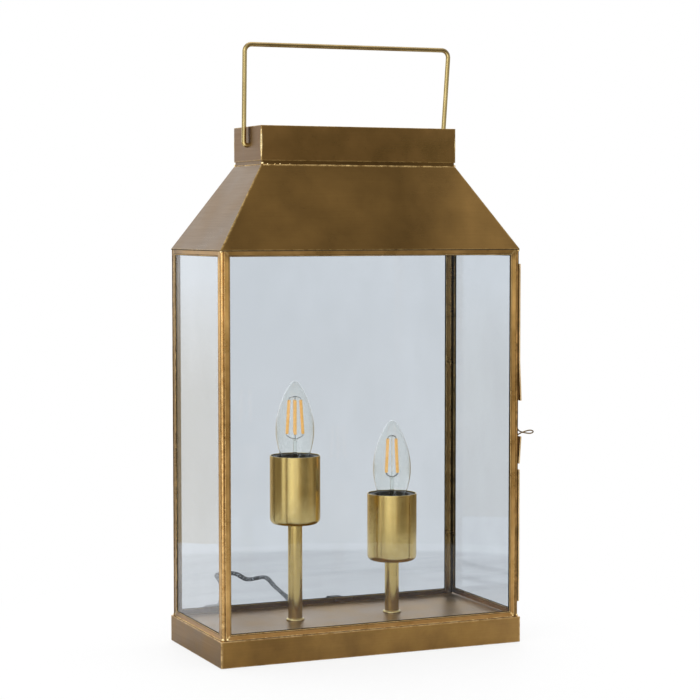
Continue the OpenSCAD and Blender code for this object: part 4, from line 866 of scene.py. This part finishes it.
def cup(x, z):
    """A lampholder's cup: a thin turned wall with a rounded lower edge and a softened rim."""
    bore = CUP_R - SHEET
    outside, inside = lower_edge(CUP_R, 5, 0), lower_edge(bore, 4.2, SHEET)
    lip, rub = soften([(CUP_R, 30), (CUP_R, CUP_H), (bore, CUP_H), (bore, 30)], [0, 0.25, 0.25, 0], loop=False)
    profile = np.concatenate([[[5.15, 0]], outside, lip, inside[::-1], [[5.15, SHEET]]])
    wear = np.concatenate([[0], np.full(len(outside), 0.4), rub, np.zeros(len(inside) + 1)])
    return turned(profile + [0, z], 128, wear=wear, x=x)


def stem(x, z0, z1):
    """A tube with softened ends."""
    rows, rub = soften([(5.7, z0), (6.6, z0), (6.6, z1), (5.7, z1)], 0.2)
    return turned(rows, 64, wear=rub, x=x)


def foot(x):
    """The flange that a stem stands in: a low ring with a rolled upper edge."""
    rows, rub = soften([(5.15, 0), (8.5, 0), (8.5, 1.2), (7.5, 2.2), (5.15, 2.2)], [0.1, 0.2, 0.5, 0.5, 0.1])
    return turned(rows + [0, FLOOR_Z], 72, wear=rub, x=x)


def holder(x, z):
    """The lampholder: a black body and the wide rim that fills the cup, with a raised ring at its mouth."""
    mouth, edge, z1 = 16.37, 21.7, CUP_H - 0.8
    rows, rub = soften([(5.3, 3.5), (14, 3.5), (14, 48), (mouth + 1.4, z1 - 3), (edge, z1 - 3), (edge, z1 - 0.4),
                        (edge - 0.8, z1), (mouth + 1.9, z1 - 0.1), (mouth + 1.2, z1), (mouth, z1 - 0.4),
                        (11.2, 48), (7.9, 48), (7.9, 28.6), (5.3, 28.6)], 0.3)
    return turned(rows + [0, z], 96, wear=rub, x=x)


def bulb_glass(x, z):
    """A candle bulb's glass: the smooth line through its widths turned, and the same line 0.4 inside."""
    outline = curve([[9.4, 0], [12.9, 9.5], [15.6, 19], [17.5, 31], [16.6, 45], [12.9, 59], [8.4, 69.6],
                     [4.6, 75.6], [1.9, 78.4], [0, GLASS_H]], 8)
    d = np.gradient(outline, axis=0)
    d /= np.linalg.norm(d, axis=1)[:, None]
    inner = outline - 0.4 * np.stack([d[:, 1], -d[:, 0]], -1)
    inner = inner[inner[:, 0] > 0.2]
    inner = np.concatenate([inner, [[0, inner[-1, 1] + 0.15]]])
    inner[0] = [9.0, 0.1]
    return turned(np.concatenate([outline, inner[::-1]]) + [0, z], 96, x=x)


def bulb_cap(x, z):
    """The bulb's screw cap: the radius at height h and angle a is 6.5 + 0.45 cos(2π h / 2.82 - a) on the
    thread, fading to a plain collar above and a rolled edge below."""
    h, a = span(-17, 0, 90)[:, None], circle(72)
    fade = ease((h + 17) / 1.5) * (1 - ease((h + 4.4) / 1.2))
    r = np.interp(h, [-17, -16.3, -15, -4, -3, -0.8, 0], [5.6, 6.05, 6.5, 6.5, 6.4, 8.7, 8.8])
    r = r + 0.45 * np.cos(2 * math.pi * h / THREAD - a) * fade
    p = np.stack([x + r * np.cos(a), r * np.sin(a), z + h + 0 * a], -1)
    ends = [np.broadcast_to([x, 0, z + end], (1, len(a), 3)) for end in (-17.0, 0.0)]
    return skin(np.concatenate([ends[0], p, ends[1]]), wear=0.2)


def bulb_tip(x, z):
    """The black insulator under the cap."""
    rows, rub = soften([(0, 0.9), (2.4, 0.9), (2.6, 1.6), (5.4, 3.4), (5.4, 5), (0, 5)], 0.3, loop=False)
    return turned(rows + [0, z], 48, loop=False, wear=rub, x=x)


def bulb_contact(x, z):
    """The domed solder contact at the bottom of the bulb."""
    a = span(0, math.pi / 2, 8)
    dome = np.stack([2.3 * np.sin(a), 1.0 - np.cos(a)], -1)
    return turned(np.concatenate([dome, [[0, 1.3]]]) + [0, z], 32, loop=False, wear=1.0, x=x)


def filament_set(x, z, first):
    """Four coated filaments that lean in, and the wires that carry them."""
    low, top, lift = FILAMENT_Z, FILAMENT_Z + FILAMENT_H, np.array([x, 0, z])
    t = np.concatenate([[0.0, 0.012], span(0.04, 0.96, 30), [0.988, 1.0]])
    grow = np.interp(t, [0, 0.012, 0.04, 0.96, 0.988, 1], [0.72, 0.95, 1, 1, 0.95, 0.72])
    rods, wires = [], []
    for a in np.radians(first + np.array([0, 90, 180, 270])):
        out, up = np.array([math.cos(a), math.sin(a), 0]), np.array([0, 0, 1.0])
        begin, end = out * 7.3 + up * low, out * 5.3 + up * top
        along = end - begin
        rods.append(carried(begin + along * t[:, None] + lift, round_section(1.4, 16), side=out, grow=grow))
        hook = [end - along * 0.02, end + up * 1.1, out * 4.2 + up * (top + 2.3), out * 0.9 + up * (top + 2.9)]
        tail = [begin + along * 0.02, begin - up * 1.3, out * 5 + up * (low - 3), out * 1.2 + up * (low - 4.4)]
        wires += [carried(curve(w, 6) + lift, round_section(0.3, 10), side=np.cross(out, up))
                  for w in (hook, tail)]
    return rods, wires


def glass_mount(x, z):
    """The glass stem in the bulb: a flared tube pinched flat at its top, and the rod that it carries."""
    low = FILAMENT_Z
    tube = curve([[0, 0.1], [5.3, 0.1], [4.9, 1.6], [3, 5], [1.9, 9], [1.7, low - 10], [1.75, low - 7],
                  [2.2, low - 4.8], [1.5, low - 3.9], [0, low - 3.6]], 5)
    tube[:, 0] = np.maximum(tube[:, 0], 0)
    rod = soften([(0, low - 6), (0.55, low - 6), (0.55, low + 34.4), (0, low + 34.4)], 0.2, loop=False)[0]
    return [turned(line + [0, z], n, loop=False, x=x) for line, n in ((tube, 40), (rod, 20))]


def mount_button(x, z):
    """The small button at the top of the mount that the hooks are set in."""
    rows = soften([(0, 2.4), (1.5, 2.4), (1.5, 3.6), (0, 3.6)], 0.4, loop=False)[0]
    return turned(rows + [0, z + FILAMENT_Z + FILAMENT_H], 28, loop=False, x=x)


for name, (x, rise) in LAMPS.items():
    foot_z = FLOOR_Z + rise
    z, tip = foot_z + BULB_Z, foot_z + BULB_Z - 21
    on = name + "_bulb"
    rods, wires = filament_set(x, z, {"left": -20, "right": 20}[name])
    for piece, shape, finish, body, slot, node, crease in (
            ("_cup_shell", cup(x, foot_z), TURNED_BRASS, "lamp_body", "satin_brass", "_cup", 40),
            ("_stem_tube", stem(x, FLOOR_Z + 2.2, foot_z), TURNED_BRASS, "lamp_body", "satin_brass", "_stem", 40),
            ("_foot_ring", foot(x), TURNED_BRASS, "lamp_body", "satin_brass", "_foot", 40),
            ("_holder_body", holder(x, foot_z), BAKELITE, "lamp_body", "black_plastic", "_holder", 40),
            ("_bulb_envelope", bulb_glass(x, z), BULB, on, "clear_glass", "_bulb_glass", 60),
            ("_screw_cap", bulb_cap(x, z), STEEL, on, "steel", "_bulb_cap", 60),
            ("_cap_insulator", bulb_tip(x, tip), BAKELITE, on, "black_plastic", "_bulb_tip", 40),
            ("_cap_contact", bulb_contact(x, tip), STEEL, on, "steel", "", 60),
            ("_filament_rods", rods, COATING, on, "filament_coating", "_filaments", 60),
            ("_filament_wires", wires + [mount_button(x, z)], STEEL, on, "steel", "", 60),
            ("_mount_stem", glass_mount(x, z), MOUNT, on, "clear_glass", "_bulb_mount", 60)):
        make(name + piece, shape, finish, body, slot, *([name + node] if node else []), crease=crease)


# ---------------------------------------------------------------- underside

def felt_pad():
    """The felt under the base: a cross of cloth and four corner squares, each with a round hole whose ring
    of points runs t of the way from the circle to the square. All are closed, from z = 0 to 1.6."""
    ring = round_section(1.0, 64)
    square = ring / np.abs(ring).max(1, keepdims=True)
    parts = []
    for sx, sy in QUARTERS:
        rows = [np.c_[ring * 4.3 * (1 - t) + square * 6.5 * t + [sx * LUG_X, sy * LUG_Y], np.full(64, z)]
                for t, z in ((1, 0.12), (0.97, 0), (0.5, 0), (0.06, 0), (0, 0.25), (0, 1.4), (0.3, 1.6), (1, 1.6))]
        parts.append(skin(np.array(rows), loop_rows=True))
    corner = [(144.1, -52.7), (144.1, 52.7), (131.1, 52.7), (131.1, 65.7), (-131.1, 65.7), (-131.1, 52.7),
              (-144.1, 52.7), (-144.1, -52.7), (-131.1, -52.7), (-131.1, -65.7), (131.1, -65.7), (131.1, -52.7)]
    side = evenly(corner + corner[:1], 4.0)[:-1]
    rows = [np.c_[side * t, np.full(len(side), z)] for t, z in (
        (0, 0), (0.5, 0), (0.9, 0), (0.997, 0), (1, 0.2), (1, 1.4), (0.997, 1.6), (0.5, 1.6), (0, 1.6))]
    parts.append(skin(np.array(rows)))
    return parts


def cover_screw(x, y):
    """A pan-head screw: the head's height falls by 0.3 (r / R)² from its middle, less a cross-shaped recess
    of depth 0.45 where the smaller of |x| and |y| is under 0.4 and r under 1.6."""
    r = np.array([0, 0.3, 0.42, 0.6, 1.0, 1.4, 1.6, 1.75, 2.1, 2.5, 2.77])[:, None]
    ring = round_section(1.0, 64)
    px, py = r * ring[:, 0], r * ring[:, 1]
    cross = ease((0.5 - np.minimum(np.abs(px), np.abs(py))) / 0.12) * ease((1.75 - r) / 0.15)
    z = 0.5 + 0.3 * (r / 2.77) ** 2 + 0.45 * cross
    shank = [np.c_[ring * size, np.full(64, high)] for size, high in
             ((2.77, 1.6), (1.5, 1.6), (1.5, 7.2), (1.1, 7.6), (0, 7.6))]
    return skin(np.concatenate([np.stack([px, py, z], -1), shank]) + [x, y, 0], wear=0.3)


make("felt_base", felt_pad(), FELT, "lamp_body", "felt", "base_pad")
make("pan_screws", [cover_screw(sx * LUG_X, sy * LUG_Y) for sx, sy in QUARTERS], STEEL, "lamp_body", "steel",
     "cover_screws", crease=30)


# ---------------------------------------------------------------- switch, plug and tie

def along_y(profile, at, loop=True):
    """A profile of (radius, distance) turned about a line that runs to the back from `at`."""
    return moved(turned(profile, 48 if loop else 40, loop=loop, wear=0.2), (0, 2, 1), at)


def relief():
    """The strain relief: its neck in the wall, and a taper with six rings cut into it outside."""
    y = span(3.6, 22.4, 67)
    r = np.interp(y, [3.6, 22.4], [5.0, 3.9]) - 0.55 * (np.sin((y - 3.6) * 2 * math.pi / 3.13) > 0.35)
    neck = [[2.85, -2.9], [6.7, -2.9], [7, -2.6], [7, -0.9], [5, -0.9], [5, 0.1], [6.7, 0.1], [7, 0.4],
            [7, 1.6], [6.6, 2], [5.2, 2.1]]
    return along_y(np.concatenate([neck, np.c_[r, y], [[3.5, 24], [2.85, 24]]]), (0, BASE_Y, EXIT_Z))


def switch_shell():
    """The in-line switch's body: rounded rectangles stacked up with a parting groove round the middle, a
    sloped shoulder, and a well for the rocker."""
    outside = [(1, 7.2, 0), (0.2, 7.8, 0.35), (0, 8, 1), (0, 8, 6.6), (0.05, 8, 6.8), (0.4, 7.6, 6.9),
               (0.4, 7.6, 7.2), (0.05, 8, 7.3), (0, 8, 7.5), (0, 8, 12.4), (0.2, 7.8, 13.1), (1.1, 7, 14.1),
               (2, 6, 14.5), (3, 5, 14.6)]             # how far in, corner radius, height
    well = [(5.7, 11.2, 1.4, 14.6), (5.1, 10.6, 1.1, 14.5), (4.9, 10.4, 1, 14.2), (4.9, 10.4, 1, 7), (0, 0, 0, 7)]
    rows = [(0, 0, 0, 0)] + [(13 - within, 29 - within, r, z) for within, r, z in outside] + well
    return moved(loft(rows, side=12, arc=6, loop=False), at=(SWITCH_X, SWITCH_Y, 0))


def sleeve(y, way):
    """A short tapered sleeve where the flex enters."""
    profile = [[2.9, 0.5], [4.4, 0.5], [4.4, -2.2], [4.1, -2.6], [4.1, -3.2], [4.3, -3.5], [3.9, -6.3],
               [3.5, -6.8], [2.9, -6.8]]
    return along_y(np.array(profile) * [1, way], (SWITCH_X, y, FLEX_LOW))


def plug_shell():
    """The plug: rounded rectangles along its length whose half width swells from 7 to 17.5, with grip
    ribs of 0.35 on the wide part."""
    h = np.concatenate([[0, 0, 0.5, 1.4], span(4, 24, 12), span(24.5, 34.5, 41), [35.2, 35.8, 36, 36]])
    wide = np.interp(h, [0, 1.4, 14, 22, 25.2, 36], [6.6, 7.2, 11.6, 16.2, 17.4, 17.4])
    tall = np.interp(h, [0, 1.4, 18, 36], [4.9, 5.4, 6.8, 6.8])
    rib = 0.35 * (np.sin((h - 24.5) * 2 * math.pi / 2.0) > 0) * ((h > 24.5) & (h < 34.5))
    pull_in = np.interp(h, [0, 0.5, 1.4, 35.2, 35.8, 36], [1.2, 0.5, 0, 0, 0.5, 1.1])
    wide, tall = wide - rib - pull_in, tall - pull_in
    wide[[0, -1]], tall[[0, -1]] = 0, 0
    rows = np.stack([wide, tall, np.minimum(3.6, tall), -h], -1)
    return moved(loft(rows, side=10, arc=5, loop=False), (0, 2, 1), PLUG_AT)


def plug_pin(x, sleeved):
    """A round pin: bare metal with a rounded tip, or the plastic sleeve round its inner half."""
    at = (x, PIN_Y, PLUG_AT[2])
    if sleeved:
        return along_y([[1.7, -9], [2.0, -9], [2.0, 0.4], [1.7, 0.4]], at)
    a = span(0, math.pi / 2, 7)
    tip = np.stack([0.5 + 1.3 * np.sin(a), -19 + 1.3 - 1.3 * np.cos(a)], -1)
    return along_y(np.concatenate([[[0, -19]], tip, [[1.8, 0.4], [0, 0.4]]]), at, loop=False)


def tie_strap():
    """The tie: a flat strap, 12 by 0.6, round the coil's bundle, and its free end folded over on top."""
    ring = rim(6, 6)
    line = ring[:, :2] * (np.array([11.84, 6.5]) - 3) + ring[:, 2:4] * 3
    path = np.c_[np.full(len(line), COIL_AT[0]), line[:, 0] + 144, line[:, 1] + 6.8]
    flat = soften([(-0.3, -6), (0.3, -6), (0.3, 6), (-0.3, 6)], 0.15)[0]
    end = np.array([[COIL_AT[0], y, 13.75 + 0.1 * math.sin(y)] for y in span(137, 149, 20)])
    return [carried(path, flat, side=(1, 0, 0), loop=True), carried(end, flat * [1, 0.97], side=(1, 0, 0))]


make("ribbed_relief", relief(), BLACK, "lamp_body", "black_plastic", "strain_relief", crease=30)
switch = make("switch_shell", [switch_shell(), sleeve(SWITCH_Y - 29, 1), sleeve(SWITCH_Y + 29, -1)], BLACK,
              "lamp_body", "black_plastic", "switch_body", crease=35)
plug = make("plug_shell", [plug_shell()] + [plug_pin(x, True) for x in PIN_XS], BLACK, "lamp_body",
            "black_plastic", "plug_body", crease=35)
pins = make("round_pins", [plug_pin(x, False) for x in PIN_XS], STEEL, "lamp_body", "steel", "plug_pins")
tie = make("tie_strap", tie_strap(), STRAP, "lamp_body", "black_plastic", "coil_tie", crease=35)


# ---------------------------------------------------------------- finishes of the CAD's own pieces

OWN = {
    STEEL: "bottom_cover hinge_pins left_rod right_rod left_nuts right_nuts",
    PANE: "front_pane back_pane left_pane door_pane",
    FRAME_BRASS: "door_hinge_leaves post_hinge_leaves",
    TURNED_BRASS: "left_contacts right_contacts",
    WHITE: "terminal_block",
    SLEEVE: "lead_wires",
    BLACK: "cord_clamp",
    ROCKER: "switch_rocker",
}
for finish, names in OWN.items():
    for name in names.split():
        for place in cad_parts[name].material_slots:
            place.material = finish


# ---------------------------------------------------------------- stage, light and camera

def floor():
    """A round pale table top: rings of points whose radius is 700 t and whose height is -0.05. Where it is
    looked at, it pales to the white of the room from 0.14 m out to 0.4 m; through glass it is veined."""
    t, ring = span(0, 1, 29)[:, None, None], round_section(700, 96)
    p = np.concatenate([ring * t, np.full((29, 96, 1), -0.05)], -1)
    mesh = bpy.data.meshes.new("floor")
    points, quads = skin(p)[:2]
    mesh.from_pydata((points * MM).tolist(), [], quads.tolist())
    mesh.validate()
    mesh.update()
    if mesh.polygons[len(mesh.polygons) // 2].normal.z < 0:
        mesh.flip_normals()
    material, tree, shader, place = start("pale_floor")
    streak = cloud(tree, place, 90.0, 5.0, 0.6, (3, 1, 1))
    tone = blend(tree, remap(tree, streak, 0.55, 0.75, 0.0, 0.5), (0.8, 0.8, 0.8, 1), (0.69, 0.7, 0.71, 1))
    fill(tree, shader, Base_Color=tone, Roughness=0.6, Specular_IOR_Level=0.2)
    path, turned_away = looked_at(tree)
    out_there = add(tree, "VectorMath", {0: place}, out=1, operation="LENGTH")
    near = remap(tree, out_there, 0.52, 0.545, 0.045, 0.0)
    grey = calc(tree, "MULTIPLY", path["Transmission Depth"], near, True)
    veins = remap(tree, cloud(tree, place, 60.0, 6.0, 0.7, (5, 1, 1)), 0.4, 0.7, 0.6, 1.3)
    level = calc(tree, "SUBTRACT", 1.0, calc(tree, "MULTIPLY", grey, veins))
    lift = add(tree, "Emission", {0: (1, 1, 1, 1), 1: level})
    share = remap(tree, out_there, 0.14, 0.4, 0.8, 1.0)
    seen = calc(tree, "MULTIPLY", calc(tree, "SUBTRACT", 1.0, turned_away), share)
    mixed(tree, seen, shader, lift)
    mesh.materials.append(material)
    piece = bpy.data.objects.new("floor", mesh)
    bpy.context.scene.collection.objects.link(piece)


floor()


def ring_of_light(tree, part, stops):
    """Levels round the room by angle, from -180° to 180°, 0 in front and positive to the right. A ramp
    holds a third of each level, because its colours end at 1."""
    ramp = tree.nodes.new("ShaderNodeValToRGB")
    for angle, _ in stops[1:-1]:
        ramp.color_ramp.elements.new((angle + 180) / 360)
    for element, (_, level) in zip(ramp.color_ramp.elements, stops):
        element.color = (level / 3, level / 3, level / 3, 1)
    tree.links.new(part, ramp.inputs[0])
    return calc(tree, "MULTIPLY", ramp.outputs[0], 3.0)


def studio():
    """The room: white where it is looked at straight on or through glass. For everything that is mirrored
    in the metal it is a soft studio, bright behind the lamp and behind the camera and dim at the sides,
    and below the table's height a dim brown room with a few bright upright gaps."""
    world = bpy.data.worlds.new("studio")
    bpy.context.scene.world = world
    world.use_nodes = True
    tree = world.node_tree
    tree.nodes.clear()
    x, y, z = xyz(tree, add(tree, "TexCoord", out=0))
    part = remap(tree, calc(tree, "ARCTAN2", x, calc(tree, "MULTIPLY", y, -1.0)), -math.pi, math.pi)
    sides = ring_of_light(tree, part, [
        (-180, 1.45), (-164, 1.3), (-150, 1.15), (-125, 0.75), (-108, 0.42), (-86, 0.34), (-76, 0.7), (-66, 0.7),
        (-57, 0.42), (-46, 1.1), (-24, 1.35), (-4, 1.05), (10, 0.64), (20, 0.4), (28, 0.4), (38, 0.85), (50, 0.7),
        (60, 0.5), (66, 0.8), (76, 0.42), (100, 0.38), (130, 1.0), (155, 1.8), (180, 1.45)])
    gaps = ring_of_light(tree, part, [
        (-180, 0.95), (-161, 0.85), (-150, 0.55), (-136, 0.32), (-113, 0.4), (-90, 0.3), (-86, 0.5), (-82, 1.9),
        (-71, 1.9), (-64, 0.8), (-58, 1.7), (-46, 2.2), (-37, 2.7), (-28, 2.3), (-22, 1.7), (-13, 1.9), (-6, 1.4),
        (-1, 0.8), (8, 0.45), (14, 0.34), (30, 0.27), (45, 0.4), (58, 0.75), (70, 0.45), (79, 0.3), (101, 0.27),
        (124, 0.42), (150, 0.7), (180, 0.95)])
    high = remap(tree, z, 0.35, 0.95)
    level = add(tree, "Mix", {0: high, 2: sides, 3: 1.1}, out=0)
    low = remap(tree, z, -0.025, -0.08)
    level = add(tree, "Mix", {0: low, 2: level, 3: gaps}, out=0)
    brown = calc(tree, "MULTIPLY", low, remap(tree, gaps, 0.4, 1.9, 1.0, 0.0))
    turned_away = looked_at(tree)[1]
    strength = add(tree, "Mix", {0: turned_away, 2: 1.0, 3: level}, out=0)
    colour = blend(tree, calc(tree, "MULTIPLY", brown, turned_away), (1, 1, 1, 1), (1.0, 0.78, 0.44, 1))
    back = add(tree, "Background", {0: colour, 1: strength})
    output = tree.nodes.new("ShaderNodeOutputWorld")
    tree.links.new(back, output.inputs[0])


studio()


def softbox(name, at, aim, size, watts):
    """An oblong soft lamp that faces `aim`."""
    lamp = bpy.data.lights.new(name, "AREA")
    lamp.shape, lamp.size, lamp.size_y, lamp.energy = "RECTANGLE", *size, watts
    piece = bpy.data.objects.new(name, lamp)
    bpy.context.scene.collection.objects.link(piece)
    piece.location = at
    piece.rotation_euler = (Vector(aim) - Vector(at)).to_track_quat("-Z", "Y").to_euler()
    piece.visible_camera = False


softbox("left_window", (-2.6, -1.5, 1.7), (0, 0, 0.25), (1.6, 1.6), 20)
softbox("overhead", (0.2, 0.2, 2.6), (0, 0, 0.2), (2.2, 1.6), 22)

EYE, LENS = (-0.73895, -1.70976, 0.38431), 104.68
PICTURE_LENS = 2035.48                          # the same focal length in pixels of the 700-pixel picture
camera = bpy.data.objects.new("camera", bpy.data.cameras.new("camera"))
bpy.context.scene.collection.objects.link(camera)
right, ahead = np.array([0.91703, -0.39882, -0.00034]), np.array([0.39806, 0.91534, -0.06088])
ahead = ahead - np.cross(right, ahead) * 0.68 / PICTURE_LENS + right * 0.5 / PICTURE_LENS
ahead /= np.linalg.norm(ahead)
turn = Matrix(np.stack([right, np.cross(right, ahead), -ahead], 1).tolist()).to_4x4()
camera.matrix_world = Matrix.Translation(EYE) @ turn
camera.data.sensor_width, camera.data.lens = 36.0, LENS
camera.data.clip_start, camera.data.clip_end = 0.05, 60
bpy.context.scene.camera = camera
bpy.context.scene.view_settings.view_transform = "Standard"
